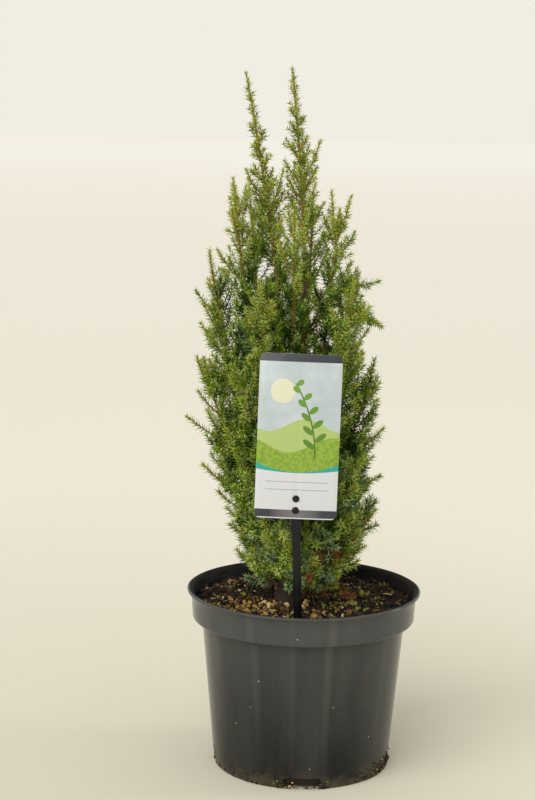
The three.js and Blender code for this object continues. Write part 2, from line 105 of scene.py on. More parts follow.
# last is the share of a stem, short of its tip, that carries twigs.
LIMB = {"spread": 0.62, "climb": 0.3, "thick": 2.7, "narrowing": 0.5, "last": 0.87}
LEADER = {
    "start": 226,
    "bare": 0.5,
    "spread": 0.2,
    "climb": 0.5,
    "thick": 3.2,
    "narrowing": 0.86,
    "last": 0.72,
    "twigs": 15,
    "twig": 27,
}
STEM_RADIUS = 1.5
CLEAR = 0.5
TURN = 2.39996  # the golden angle, between one twig and the next
RAGGED = 11  # how far the side shoots draw in from the crown's outline, so that single twigs stand out
# Side shoots by what carries them: their greatest length, the share of the stem or twig that carries them,
# and how much shorter they grow towards its tip
SIDE_SHOOTS = {
    "stem": (33, 0.9, 0.5),
    "leader": (13, 0.94, 0.8),
    "twig": (21, 0.64, 0.6),
    "fine": (11, 0.7, 0.6),
}
FINE_RINGS = ("neck", "leader")
STRAY_REACH = 40  # length of a shoot that stands out of the crown on its own
STRAY_TIPS = (
    (54, -10, 398),
    (57, -6, 362),
    (52, -12, 336),
    (61, -4, 279),
    (60, 6, 238),
    (31, -4, 464),
    (16, 8, 467),
    (6, -3, 507),
    (-23, -8, 484),
    (-52, -10, 484),
    (-63, 6, 471),
    (-80, -8, 420),
    (-84, -6, 378),
    (-89, -4, 334),
    (-96, -4, 286),
    (-83, -4, 247),
)
OPENER = {"neck": 1.6, "leader": 1.3, "shoulder": 1.1}  # rings whose side shoots stand further apart
CARD_FOOT = (-9.6, -83, 221.5)
CARD_LEAN, CARD_ROLL, CARD_BOW = 0.05, 0.0224, 9
STICK_FOOT, STICK_TOP = (-5.5, -61, 134), (-9.6, -81.2, 241)
STUD_HEIGHTS = (15.5, 6.5)
LABEL_SPACE = {"left": -46, "right": 30, "high": 352, "front": -70}
BROWNED = ((20, -34, 178, 19), (12, -50, 164, 12))  # places and radii where inner shoots have died back

# Painted reflections: pale stripes up the pot's wall that stand for reflected lights, by azimuth from -Y and
# half width, in degrees, and strength
PAINTED_REFLECTIONS = (
    (-59, 6, 0.9),
    (-28, 3.2, 1.0),
    (-15, 10, 0.55),
    (-7, 2.6, 0.7),
    (13.7, 2.8, 1.1),
    (24, 5, 0.3),
    (52, 4, 0.5),
    (85, 6, 0.7),
    (118, 3, 0.8),
    (150, 9, 0.5),
    (178, 3, 1.0),
    (-150, 5, 0.7),
    (-118, 9, 0.5),
    (-88, 3, 0.8),
)

# The camera's place, worked out from the pot's ellipses and the plant's height
CAMERA = {
    "place": (-0.0322, -1.402, 0.519),
    "pitch": 8.87,
    "roll": 0.97,
    "focal_px": 1765,
    "long_side_px": 800,
}
LIT_PLACE = (0, 0, 0.22)  # where the soft lights point

# Patches of unlike granules on the compost: middle and spread, along X and Y
PATCHES = {
    "ochre": (-42, -38, 36, 38),
    "moss": (34, -4, 22, 30),
    "black": (62, -30, 32, 46),
    "black_edge": (-78, 0, 16, 40),
}

# Places and heights of the card's print, from the middle of its lower edge
PRINT = {
    "foot_band": (0.9, 6.9),
    "top_band": 120.4,
    "white_field": 35.4,
    "teal_curve": 36,
    "near_hill": 57,
    "far_hill": 72,
    "disc": (-13, 98),
    "rules": (28.4, 22.4),
}
SPRIG = {"foot": (13, 48), "bow": 0.0052, "top": 104, "leaves": 10, "first": 54, "step": 5.4, "leaf": 11}

# Plain colours as light
SPECK = (0.5, 0.49, 0.45)
# A painted sheen, the lighter middle of the card's foot band
PAINTED_SHEEN = (0.16, 0.15, 0.17)


# Settings


def length(name, description, default):
    """A size setting, given in millimetres and kept in metres."""
    return FloatProperty(name=name, description=description, default=default * MM, unit="LENGTH", precision=4)


def tone(name, description, red, green, blue):
    """A colour setting, given as the photo shows it and kept as light."""
    light = [((c / 255 + 0.055) / 1.055) ** 2.4 for c in (red, green, blue)]
    about = {"name": name, "description": description, "subtype": "COLOR"}
    return FloatVectorProperty(**about, default=light, min=0, max=1)


class PotSettings(bpy.types.PropertyGroup):
    """Sizes and colours of the nursery pot"""

    rim_radius: length("Rim radius", "Outer radius of the rolled rim", POT_BOX[1].x / MM)
    height: length("Height", "Height of the rim above the floor", POT_BOX[1].z / MM)
    base_radius: length("Base radius", "Radius of the underside", 71)
    foot_radius: length("Foot radius", "Radius where the straight wall begins", 72.6)
    foot_height: length("Foot height", "Height at which the straight wall begins", 12)
    body_radius: length("Body radius", "Radius of the wall just under the band", 82.5)
    band_radius: length("Band radius", "Radius of the band at its foot", 90.4)
    band_height: length("Band height", "Height of the band under the rim", 23.5)
    shoulder_height: length("Shoulder height", "Height of the step from the wall to the band", 2.5)
    wall: length("Wall", "Thickness of the plastic", 1.6)
    floor: length("Floor", "Thickness of the pot's floor", 3)
    notch_width: length("Notch width", "Width of a drain notch", 30)
    notch_height: length("Notch height", "Height of a drain notch", 9.5)
    notch_depth: length("Notch depth", "Depth of the cut that makes a drain notch", 14)
    plastic: tone("Plastic", "The pot's dark grey plastic", 50, 53, 53)
    # Painted shade: this darker tone is painted low on the pot's wall as shade; inside the pot it also
    # colours dark stains
    shaded: tone("Lower plastic", "The shade_painted, darker plastic low on the wall", 6, 7, 7)
    # This pale colour paints the dusty patches and also the stripes of painted reflection up the wall
    dust: tone("Dust", "Pale dust on the plastic", 108, 109, 103)
    # Painted shade: the inside and the rim's top are painted dark as the shade in the pot, over the compost's
    # stain
    inside: tone("Inside", "The stained inside of the wall", 20, 18, 15)
    dirt: tone("Dirt", "Dried compost at the foot", 82, 74, 54)


class CompostSettings(bpy.types.PropertyGroup):
    """Sizes and colours of the compost"""

    granules: IntProperty(
        name="Granules", description="Number of loose granules", default=5200, min=0, max=8000
    )
    granule: length("Granule", "Usual length of a granule", 3.3)
    ground: tone("Ground", "The compost between the granules", 29, 21, 14)
    dark: tone("Dark bark", "Nearly black granules", 27, 21, 15)
    brown: tone("Brown bark", "Brown granules", 64, 44, 27)
    chestnut: tone("Chestnut", "Reddish granules", 98, 72, 40)
    ochre: tone("Ochre", "Ochre granules", 156, 122, 62)
    straw: tone("Straw", "Pale straw and grit", 204, 180, 128)
    moss: tone("Moss", "Mossy granules", 118, 122, 50)


class PlantSettings(bpy.types.PropertyGroup):
    """Sizes and colours of the plant"""

    needle_length: length("Needle length", "Usual length of a needle", 6.5)
    needle_width: length("Needle width", "Width of a needle", 1.12)
    whorl_spacing: length("Whorl spacing", "Distance from one whorl of three needles to the next", 1.6)
    shoot_spacing: length("Shoot spacing", "Distance from one side shoot to the next", 2.9)
    bark_relief: length("Bark relief", "Depth of the furrows in the bark", 1.1)
    bark: tone("Bark", "Old bark on the trunk and boughs", 92, 66, 50)
    bark_light: tone("Bark ridges", "Weathered ridges of the bark", 138, 112, 90)
    old_wood: tone("Old twigs", "Brown twigs inside the crown", 74, 56, 40)
    young_wood: tone("Young twigs", "Red-brown twigs of the last year", 146, 102, 60)
    green_wood: tone("Shoot tips", "Green wood at the tips", 132, 134, 66)
    tip: tone("Tip needles", "Yellow-green needles at the tips", 170, 180, 58)
    fresh: tone("Fresh needles", "Needles of this year", 134, 162, 34)
    middle: tone("Middle needles", "Needles along the shoots", 98, 134, 26)
    deep: tone("Deep needles", "Needles inside the crown", 60, 97, 16)
    shade: tone("Shaded needles", "The darkest needles", 35, 56, 8)
    blue: tone("Blue needles", "Blue-green needles low on the plant", 104, 134, 78)
    band: tone("Pale band", "The pale band on a needle's upper face", 178, 194, 104)
    blue_band: tone("Blue band", "The pale band of the low needles", 158, 182, 130)
    dead: tone("Dead needles", "Dry needles inside the crown", 146, 94, 52)


class LabelSettings(bpy.types.PropertyGroup):
    """Sizes and colours of the plain plant label"""

    width: length("Width", "Width of the card", 63)
    height: length("Height", "Height of the card", 126.5)
    thickness: length("Thickness", "Thickness of the card", 0.8)
    corner: length("Corner", "Size of the cut and rounded corners", 4)
    stick_width: length("Stick width", "Width of the stick", 6.6)
    stick_thickness: length("Stick thickness", "Thickness of the stick", 2.2)
    stud_radius: length("Stud radius", "Radius of the two studs", 2.4)
    card: tone("Card", "The card's white", 208, 211, 217)
    slate: tone("Slate", "The dark bands at the card's top and foot", 44, 49, 60)
    teal: tone("Teal", "The curved band", 32, 160, 150)
    sky: tone("Sky", "The pale ground of the field", 176, 190, 194)
    hill: tone("Hill", "The near hill", 138, 168, 50)
    far_hill: tone("Far hill", "The far hill", 168, 188, 112)
    leaf: tone("Leaf", "The leaves of the sprig", 92, 136, 34)
    sun: tone("Sun", "The pale disc", 214, 214, 186)
    rule: tone("Rule", "The ruled lines", 120, 122, 122)
    plastic: tone("Plastic", "The stick's black plastic", 14, 16, 16)


class StudioSettings(bpy.types.PropertyGroup):
    """Colours and strengths of the studio"""

    near_floor: tone("Near floor", "The floor around the pot", 226, 221, 205)
    far_floor: tone("Far floor", "The floor behind the pot", 240, 237, 227)
    last_floor: tone("Last floor", "The floor where it meets the air", 249, 247, 243)
    air: tone("Air", "The pale surroundings", 240, 237, 227)
    air_light: FloatProperty(
        name="Air light", description="Light from all sides", default=0.7, min=0, max=1, subtype="FACTOR"
    )
    sun: FloatProperty(
        name="Key light", description="Wide soft light from the upper left", default=1.98, min=0
    )
    side: FloatProperty(
        name="Side light", description="Tall light on the right", default=5.2, min=0, unit="POWER"
    )


# Numbers and curves


def make_random(seed):
    """A seeded source of numbers from 0 to 1, the same as the one in the part's source."""
    state = seed & 0xFFFFFFFF

    def roll():
        nonlocal state
        state = (state * 1664525 + 1013904223) & 0xFFFFFFFF
        return state / 4294967296

    roll()
    roll()
    return roll


def mix(a, b, share):
    return a + (b - a) * share


def unit(vector):
    return vector / np.linalg.norm(vector)


def unit_across(direction, other):
    """A unit vector square to two directions, or X where they are in line."""
    across = np.cross(direction, other)
    return np.array((1.0, 0, 0)) if across @ across < 1e-6 else unit(across)


UP = np.array((0, 0, 1.0))


class Bezier:
    """A Bezier curve of three or four control points, in millimetres."""

    def __init__(self, *points):
        self.points = np.array(points, float)

    def at(self, t):
        """The point at one place, or the points at several."""
        t = np.asarray(t, float)[..., None]
        points = [np.broadcast_to(p, t.shape[:-1] + (3,)) for p in self.points]
        while len(points) > 1:
            points = [mix(a, b, t) for a, b in zip(points, points[1:])]
        return points[0]

    def heading(self, t):
        steps = Bezier(*np.diff(self.points, axis=0))
        return unit(steps.at(t))

    def length(self):
        return np.linalg.norm(np.diff(self.at(np.linspace(0, 1, 201)), axis=0), axis=1).sum()

    def part(self, start, end):
        """The stretch of a three-point curve between two of its places, as a curve of its own."""
        a, b, c = self.points
        pull = (1 - start) * (1 - end) * a + (start * (1 - end) + end * (1 - start)) * b + start * end * c
        return Bezier(self.at(start), pull, self.at(end))


def leftness(cosine):
    """How far left a limb or point lies: 0 on the right, a half in front and behind, 1 on the left."""
    return (1 - cosine) / 2


def crown_reach(height, left):
    """The crown's reach at a height, towards a side."""
    heights, rights, lefts = zip(*CROWN_OUTLINE)
    return mix(np.interp(height, heights, rights), np.interp(height, heights, lefts), left)


def sample_line(curve, start, end, count, radius=lambda t: 0 * t):
    """A limb's centre line and radius, sampled for the tests of distance."""
    t = np.linspace(start, end, count + 1)
    return curve.at(t), radius(t)


def line_distance(points, line):
    """How far each point lies from a sampled limb's skin."""
    centres, radii = line
    a = centres[:-1]
    along = np.diff(centres, axis=0)
    gap = points[:, None] - a
    share = np.clip((gap * along).sum(-1) / (along * along).sum(-1), 0, 1)
    away = np.linalg.norm(gap - share[..., None] * along, axis=-1)
    return (away - mix(radii[:-1], radii[1:], share)).min(-1)


# The plant's rule, the same as in the part's source, carried on to side shoots

trunk_curve = Bezier((*TRUNK["foot"], SOIL_TOP + GAP), TRUNK["lower_pull"], TRUNK["upper_pull"], TRUNK["top"])


def trunk_radius(t):
    height = t * (TRUNK["top"][2] - SOIL_TOP)
    flare = TRUNK["flare"] * np.exp(-height / TRUNK["flare_height"])
    return mix(TRUNK["foot_radius"], TRUNK["tip_radius"], t) + flare


def trunk_at(height):
    """The place on the trunk's centre line at a height, found by halving."""
    low, high = 0.0, 1.0
    for _ in range(24):
        middle = (low + high) / 2
        if trunk_curve.at(middle)[2] < height:
            low = middle
        else:
            high = middle
    return trunk_curve.at(low)


class Mass:
    """One mass of foliage: the stem that it grows on, and the numbers of its twigs."""

    def __init__(self, name, curve, start, side, facts):
        self.name, self.ring = name, name.rsplit("_", 1)[0] if name[-1].isdigit() else "leader"
        self.curve, self.start, self.side = curve, start, side
        self.narrowing, self.last = facts["narrowing"], facts["last"]
        self.twigs, self.twig, self.seed = facts["twigs"], facts["twig"], facts["seed"]
        self.line = sample_line(curve, start, 1, 10)
        self.sprout = start
        while line_distance(curve.at([self.sprout]), Plant.trunk_line)[0] < STEM_RADIUS:
            self.sprout += 0.01


class Plant:
    """The trunk, the boughs and the masses' stems, and the tests of a mass's own space."""

    trunk_line = sample_line(trunk_curve, 0, 1, 24, trunk_radius)

    def __init__(self):
        self.boughs, self.masses = {}, []
        for k, (name, facts) in enumerate(RINGS.items()):
            self.add_ring(k, name, *facts)
        self.add_limb("left_leader", np.array(LEADER_TIPS["left"], float), {**LEADER, "seed": 7001})
        self.add_trunk_tip()
        lines = [mass.line[0] for mass in self.masses]
        self.starts = np.concatenate([line[:-1] for line in lines])
        self.steps = np.concatenate([np.diff(line, axis=0) for line in lines])
        self.first_step = np.arange(len(lines)) * (len(lines[0]) - 1)

    def add_ring(self, k, name, count, start, tip_height, reach, bare, swing, twigs, twig):
        roll = make_random(101 + 17 * k)
        for i in range(count):
            azimuth = math.radians(swing + 360 * i / count + 14 * (roll() - 0.5))
            left = leftness(math.cos(azimuth))
            shift = 16 * (roll() - 0.5) * abs(math.sin(azimuth))
            out = mix(*reach, left) * mix(0.9, 1, abs(math.cos(azimuth)))
            tip = np.array((*CROWN_AXIS, mix(*tip_height, left) + shift), float)
            tip += out * np.array((math.cos(azimuth), math.sin(azimuth), 0))
            thick = LIMB["thick"] - 0.12 * (len(RINGS) - k)
            facts = {**LIMB, "start": start, "bare": bare, "thick": thick, "twigs": twigs, "twig": twig}
            self.add_limb(f"{name}_{i + 1}", tip, {**facts, "seed": 1000 * (k + 1) + 37 * i})

    def add_limb(self, name, tip, facts):
        """A limb leaves the trunk outwards and turns up to its tip. Its first share is a bare bough."""
        foot = trunk_at(facts["start"])
        out = np.array((tip[0] - foot[0], tip[1] - foot[1], 0))
        pull = foot + out * facts["spread"]
        pull[2] = mix(foot[2], tip[2], facts["climb"])
        curve = Bezier(foot, pull, tip)
        side = unit_across(unit(out), UP)
        bare = facts["bare"]
        if bare:
            self.boughs[f"{name}_bough"] = (curve.part(0, bare), facts["thick"])
        start = bare + GAP / curve.length() if bare else 0
        self.masses.append(Mass(name, curve, start, side, facts))

    def add_trunk_tip(self):
        """The right leader's foliage stands on the trunk's own tip."""
        onward = trunk_curve.heading(1.0)
        foot = trunk_curve.at(1.0) + onward * GAP
        tip = np.array(LEADER_TIPS["right"], float)
        curve = Bezier(foot, foot + onward * np.linalg.norm(tip - foot) * 0.5, tip)
        self.masses.append(Mass("right_leader", curve, 0, np.array((0, 1.0, 0)), {**LEADER, "seed": 7101}))

    def stem_distances(self, points):
        """How far each point lies from each mass's stem."""
        gap = points[:, None] - self.starts
        share = np.clip((gap * self.steps).sum(-1) / (self.steps * self.steps).sum(-1), 0, 1)
        away = np.linalg.norm(gap - share[..., None] * self.steps, axis=-1)
        return np.minimum.reduceat(away, self.first_step, axis=1)

    def in_crown(self, points, margin=0):
        """Whether all points lie inside the crown, above the soil and behind the label."""
        if (crown_room(points) < margin).any() or (points[:, 2] < SOIL_TOP + 5).any():
            return False
        x, y, z = points.T
        space = LABEL_SPACE
        within = (x > space["left"]) & (x < space["right"]) & (z < space["high"])
        return not (within & (y < space["front"])).any()

    def in_own_space(self, k, points, slack, margin=0):
        """Whether all points lie in mass k's own space and inside the crown."""
        if not self.in_crown(points, margin):
            return False
        away = self.stem_distances(points)
        own = away[:, k].copy()
        away[:, k] = np.inf
        return bool((away.min(-1) > own + slack).all())


def crown_room(points):
    """How far each point lies inside the crown's outline."""
    outward = np.hypot(points[:, 0] - CROWN_AXIS[0], points[:, 1] - CROWN_AXIS[1]) + 1e-6
    return crown_reach(points[:, 2], leftness((points[:, 0] - CROWN_AXIS[0]) / outward)) - outward


def around(axis, side, angle, lean):
    out = unit(np.cross(side, axis))
    radial = out * math.cos(angle) + side * math.sin(angle)
    return unit(axis * math.cos(lean) + radial * math.sin(lean))


def shoot_curve(start, direction, reach):
    """A shoot leaves its stem at an angle, and its tip turns up towards the light."""
    tip = start + direction * reach * 0.86 + UP * reach * 0.26
    return Bezier(start, start + direction * reach * 0.5, tip)


def stray_curve(mass, tip):
    """A stray shoot leaves the stem below its tip, outwards, and turns up."""
    places = mass.curve.at(np.linspace(mass.sprout, 0.92, 41))
    near = np.flatnonzero(np.linalg.norm(places - tip, axis=1) < STRAY_REACH)
    start = places[near[0] if len(near) else 40]
    pull = mix(start, tip, 0.55)
    pull[2] = mix(start[2], tip[2], 0.4)
    return Bezier(start, pull, tip)


class Shoots:
    """The shoots of one mass, from its stem to the last side shoots."""

    def __init__(self):
        self.curves, self.reaches, self.levels, self.bares = [], [], [], []

    def add(self, curve, reach, level, bare):
        self.curves.append(curve.points)
        self.reaches.append(reach)
        self.levels.append(level)
        self.bares.append(bare)


def grow_mass(plant, k, spacing):
    """A mass's stem, its twigs by the source's rule, and side shoots on both by the same rule."""
    mass = plant.masses[k]
    shoots = Shoots()
    stem = mass.curve.part(mass.sprout, 1)
    shoots.add(stem, stem.length(), 0, 0.04 if mass.ring == "leader" else 0.1)
    kinds = ["leader" if mass.ring == "leader" else "stem"]
    checks = np.array((0.5, 0.75, 1))
    for i in range(mass.twigs):
        roll = make_random(mass.seed + 101 * i)
        share = (i + 0.6) / (mass.twigs + 0.6)
        t = mix(mass.sprout, 1, 0.05 + mass.last * share)
        start = mass.curve.at(t)
        lean = 0.62 + 0.3 * roll()
        direction = around(mass.curve.heading(t), mass.side, i * TURN + 0.7 * roll(), lean)
        full = mass.twig * (1.12 - mass.narrowing * share) * (0.85 + 0.3 * roll())
        for cut in (1, 0.8, 0.62):
            curve = shoot_curve(start, direction, full * cut)
            if plant.in_own_space(k, curve.at(checks), CLEAR):
                shoots.add(curve, full * cut, 1, 0.1)
                kinds.append("fine" if mass.ring in FINE_RINGS else "twig")
                break
    for tip in np.array(STRAY_TIPS, float):
        if plant.stem_distances(tip[None])[0].argmin() == k:
            curve = stray_curve(mass, tip)
            shoots.add(curve, curve.length(), 1, 0.1)
            kinds.append("fine")
    parents = [Bezier(*points) for points in shoots.curves]
    for n, (parent, reach, kind) in enumerate(zip(parents, list(shoots.reaches), kinds)):
        add_side_shoots(plant, k, shoots, parent, reach, kind, n, spacing)
    if mass.start > 0.1:
        add_inner_shoots(plant, mass, shoots, spacing)
    return shoots


def add_inner_shoots(plant, mass, shoots, spacing):
    """Short shoots on the outer half of the bough under a mass, and on the foot of its stem."""
    bough = mass.curve.part(mass.start * 0.45, min(1, mass.start + 0.15))
    for i in range(round(bough.length() / spacing)):
        roll = make_random(mass.seed + 5003 + 131 * i)
        t = roll()
        heading = bough.heading(t)
        direction = around(heading, unit_across(heading, UP), i * TURN, 0.6 + 0.4 * roll())
        reach = 9 + 13 * roll()
        curve = shoot_curve(bough.at(t), direction, reach)
        if plant.in_crown(curve.at([0.6, 1])):
            shoots.add(curve, reach, 2, 0.05)


def add_side_shoots(plant, k, shoots, parent, reach, kind, n, spacing):
    """Side shoots along a stem or twig, each turned on by the golden angle and shorter towards the tip."""
    mass = plant.masses[k]
    longest, end, taper = SIDE_SHOOTS[kind]
    longest = min(longest, 0.64 * reach)
    count = round(reach * end / spacing)
    checks = np.array((0.6, 1))
    drawn_in = RAGGED * make_random(mass.seed + 577 * n)()
    for i in range(count):
        roll = make_random(mass.seed + 7919 * (n + 1) + 131 * i)
        share = (i + 0.5) / count
        t = mix(0.05, end, share)
        lean = 0.5 + (0.5 if n else 0.35) * roll()
        side = unit_across(parent.heading(t), UP)
        direction = around(parent.heading(t), side, i * TURN + 1.1 * n + 0.8 * roll(), lean)
        full = longest * (1.1 - taper * share) * (0.75 + 0.5 * roll())
        margin = 0 if kind == "leader" else 4 + (drawn_in if n else RAGGED * roll())
        for cut in (1, 0.7, 0.45):
            curve = shoot_curve(parent.at(t), direction, full * cut)
            if plant.in_own_space(k, curve.at(checks), -11, margin):
                shoots.add(curve, full * cut, 2, 0.05)
                break


# Meshes from arrays


def mesh_piece(name, places, corners, slots, materials):
    """A piece from arrays of places in millimetres, triangles and material slots."""
    mesh = bpy.data.meshes.new(name)
    mesh.vertices.add(len(places))
    mesh.vertices.foreach_set("co", (places * MM).astype(np.float32).ravel())
    mesh.loops.add(corners.size)
    mesh.loops.foreach_set("vertex_index", corners.astype(np.int32).ravel())
    mesh.polygons.add(len(corners))
    mesh.polygons.foreach_set("loop_start", np.arange(0, corners.size, 3, dtype=np.int32))
    for material in materials:
        mesh.materials.append(material)
    mesh.polygons.foreach_set("material_index", slots.astype(np.int32))
    mesh.update(calc_edges=True)
    mesh.validate()
    piece = bpy.data.objects.new(name, mesh)
    bpy.context.scene.collection.objects.link(piece)
    return piece


def curve_frames(curves, t):
    """Points, headings and two square directions at a place on each of many three-point curves."""
    a, b, c = curves[:, 0], curves[:, 1], curves[:, 2]
    t = t[:, None]
    points = (1 - t) ** 2 * a + 2 * t * (1 - t) * b + t * t * c
    heading = (1 - t) * (b - a) + t * (c - b)
    heading /= np.linalg.norm(heading, axis=1, keepdims=True)
    helper = np.where(np.abs(heading[:, 2:]) > 0.95, (1.0, 0, 0), (0, 0, 1.0))
    side = np.cross(heading, helper)
    side /= np.linalg.norm(side, axis=1, keepdims=True)
    return points, heading, side, np.cross(side, heading)


def tube_arrays(curves, root_radius, tip_radius, sides, steps):
    """Slim tapered tubes along many curves, each closed at its root and pointed at its tip."""
    count = len(curves)
    rings = []
    for step in range(steps):
        t = np.full(count, step / steps)
        points, _, side, out = curve_frames(curves, t)
        radius = mix(root_radius, tip_radius, step / steps)[:, None]
        for j in range(sides):
            angle = 2 * math.pi * j / sides
            rings.append(points + radius * (out * math.cos(angle) + side * math.sin(angle)))
    rings.append(curve_frames(curves, np.ones(count))[0])
    places = np.stack(rings, axis=1)
    faces = []
    for step in range(steps - 1):
        for j in range(sides):
            a, b = step * sides + j, step * sides + (j + 1) % sides
            c, d = b + sides, a + sides
            faces += [(a, c, b), (a, d, c)]
    last = (steps - 1) * sides
    faces += [(last + j, steps * sides, last + (j + 1) % sides) for j in range(sides)]
    faces += [(0, j, j + 1) for j in range(1, sides - 1)]
    corners = np.array(faces)[None] + (np.arange(count) * places.shape[1])[:, None, None]
    return places.reshape(-1, 3), corners.reshape(-1, 3), len(faces)


# A needle in its own outline: root, left edge, right edge and tip, along X, across Y and up Z. Its keel runs
# from the root to the tip.
NEEDLE_PLACES = np.array(((0, 0, 0), (0.36, 0.5, 0.5), (0.36, -0.5, 0.5), (1, 0, 0.1)))
NEEDLE_UPPER = ((0, 2, 1), (3, 1, 2))
NEEDLE_LOWER = ((0, 1, 3), (0, 3, 2))
NEEDLE_TONES = ("tip", "fresh", "middle", "deep", "shade", "blue", "dead")
NEEDLE_SLOTS = NEEDLE_TONES + ("band", "blue_band")
TONE = {name: slot for slot, name in enumerate(NEEDLE_SLOTS)}
WOOD_SLOTS = ("old_wood", "young_wood", "green_wood")


def needle_arrays(curves, reaches, bares, tones, plant, dice):
    """Whorls of three needles along many shoots, leaning forward and shorter towards the tips."""
    spacing, longest, width = plant.whorl_spacing / MM, plant.needle_length / MM, plant.needle_width / MM
    whorls = np.maximum(3, np.round(reaches * (1 - bares) / spacing)).astype(int)
    owner = np.repeat(np.arange(len(curves)), whorls)
    first = np.repeat(np.cumsum(whorls) - whorls, whorls)
    index = np.arange(len(owner)) - first
    owner, index = np.repeat(owner, 3), np.repeat(index, 3)
    place = np.tile(np.arange(3), len(first))
    total = len(owner)
    share = (index + dice.uniform(0.2, 0.8, total)) / whorls[owner]
    t = bares[owner] + (1 - bares[owner]) * share**0.7
    points, heading, side, out = curve_frames(curves[owner], np.clip(t, 0, 0.995))
    angle = place * 2 * math.pi / 3 + index * math.pi / 3 + dice.normal(0, 0.16, total)
    lean = np.radians(mix(64, 38, share**2) + dice.normal(0, 8, total))
    radial = out * np.cos(angle)[:, None] + side * np.sin(angle)[:, None]
    along = heading * np.cos(lean)[:, None] + radial * np.sin(lean)[:, None]
    across = np.cross(radial, heading)
    upper = np.cross(along, across)
    flip = np.sign((upper * heading).sum(1))[:, None]
    across, upper = across * flip, upper * flip
    high = np.interp(points[:, 2], (150, 260, 420, 500), (1.04, 0.98, 0.82, 0.74))
    full = longest * high * (1.04 - 0.16 * share**3) * dice.uniform(0.82, 1.12, total)
    size = np.stack((full, np.full(total, width), np.full(total, width)), axis=1)[:, None] * NEEDLE_PLACES
    places = points[:, None] + size[..., :1] * along[:, None] + size[..., 1:2] * across[:, None]
    places += size[..., 2:] * upper[:, None]
    corners = np.array(NEEDLE_UPPER + NEEDLE_LOWER)[None] + (np.arange(total) * 4)[:, None, None]
    own = tones[owner].copy()
    fresher = (share > 0.6) & (own > TONE["tip"]) & (own < TONE["blue"])
    own[fresher] -= 1
    pale = (dice.uniform(size=total) < 0.6) & (own != TONE["dead"])
    upper_slot = np.where(pale & (own < TONE["deep"]), TONE["band"], own)
    upper_slot = np.where(pale & (own == TONE["blue"]), TONE["blue_band"], upper_slot)
    slots = np.stack([upper_slot] * 2 + [own] * 2, axis=1)
    return places.reshape(-1, 3), corners.reshape(-1, 3), slots.ravel()


def deal_tones(curves, levels, dice):
    """One tone for each shoot: light and yellow outside and high up, dark inside, blue low down, and lighter
    at the foot as painted light.
    """
    tips = curves[:, 2]
    depth = np.clip(crown_room(tips) / 34, 0, 1) * np.interp(tips[:, 2], (400, 470), (1, 0.15))
    height = np.clip((tips[:, 2] - 150) / 330, 0, 1)
    score = 2.3 * depth - 1.4 * height + 1.4 + dice.normal(0, 0.8, len(tips))
    # Painted light: the shoots at the foot are dealt a lighter tone, where the crown and the pot shade them
    score -= 0.5 * (tips[:, 2] < 200)
    tones = np.clip(np.round(score), TONE["tip"], TONE["shade"]).astype(int)
    tones[(levels == 0) & (tips[:, 2] > 380)] = TONE["fresh"]
    blue = dice.uniform(size=len(tips)) < np.interp(tips[:, 2], (150, 210, 300, 380), (0.46, 0.3, 0.08, 0.0))
    tones[blue & (tones < TONE["shade"])] = TONE["blue"]
    near = np.any([np.linalg.norm(tips - place, axis=1) < radius for *place, radius in BROWNED], axis=0)
    dry = dice.uniform(size=len(tips)) < np.where(near, 0.3, np.where(depth > 0.9, 0.005, 0.0))
    tones[dry] = TONE["dead"]
    return tones


# Shader graphs


class Wire:
    """A node's output, with arithmetic that adds Math nodes."""

    def __init__(self, tree, socket):
        self.tree, self.socket = tree, socket

    def math(self, operation, first, second=0.0, clamp=False):
        node = self.tree.nodes.new("ShaderNodeMath")
        node.operation, node.use_clamp = operation, clamp
        plug(first, node.inputs[0])
        plug(second, node.inputs[1])
        return Wire(self.tree, node.outputs[0])

    def __add__(self, other):
        return self.math("ADD", self, other)

    __radd__ = __add__

    def __sub__(self, other):
        return self.math("SUBTRACT", self, other)

    def __rsub__(self, other):
        return self.math("SUBTRACT", other, self)

    def __mul__(self, other):
        return self.math("MULTIPLY", self, other)

    __rmul__ = __mul__

    def __truediv__(self, other):
        return self.math("DIVIDE", self, other)

    def __pow__(self, other):
        return self.math("POWER", self, other)

    def sine(self):
        return self.math("SINE", self)

    def held(self):
        """The value kept between 0 and 1."""
        return self.math("MULTIPLY", self, 1.0, clamp=True)

    def over(self, edge, softness):
        """0 below an edge and 1 above it, with a soft step."""
        return ((self - edge) / softness + 0.5).held()

    def both(self, other):
        return self.math("MINIMUM", self, other)


def plug(value, into):
    """Links a wire to a socket, or sets a plain value there."""
    if isinstance(value, Wire):
        value.tree.links.new(value.socket, into)
    else:
        into.default_value = value


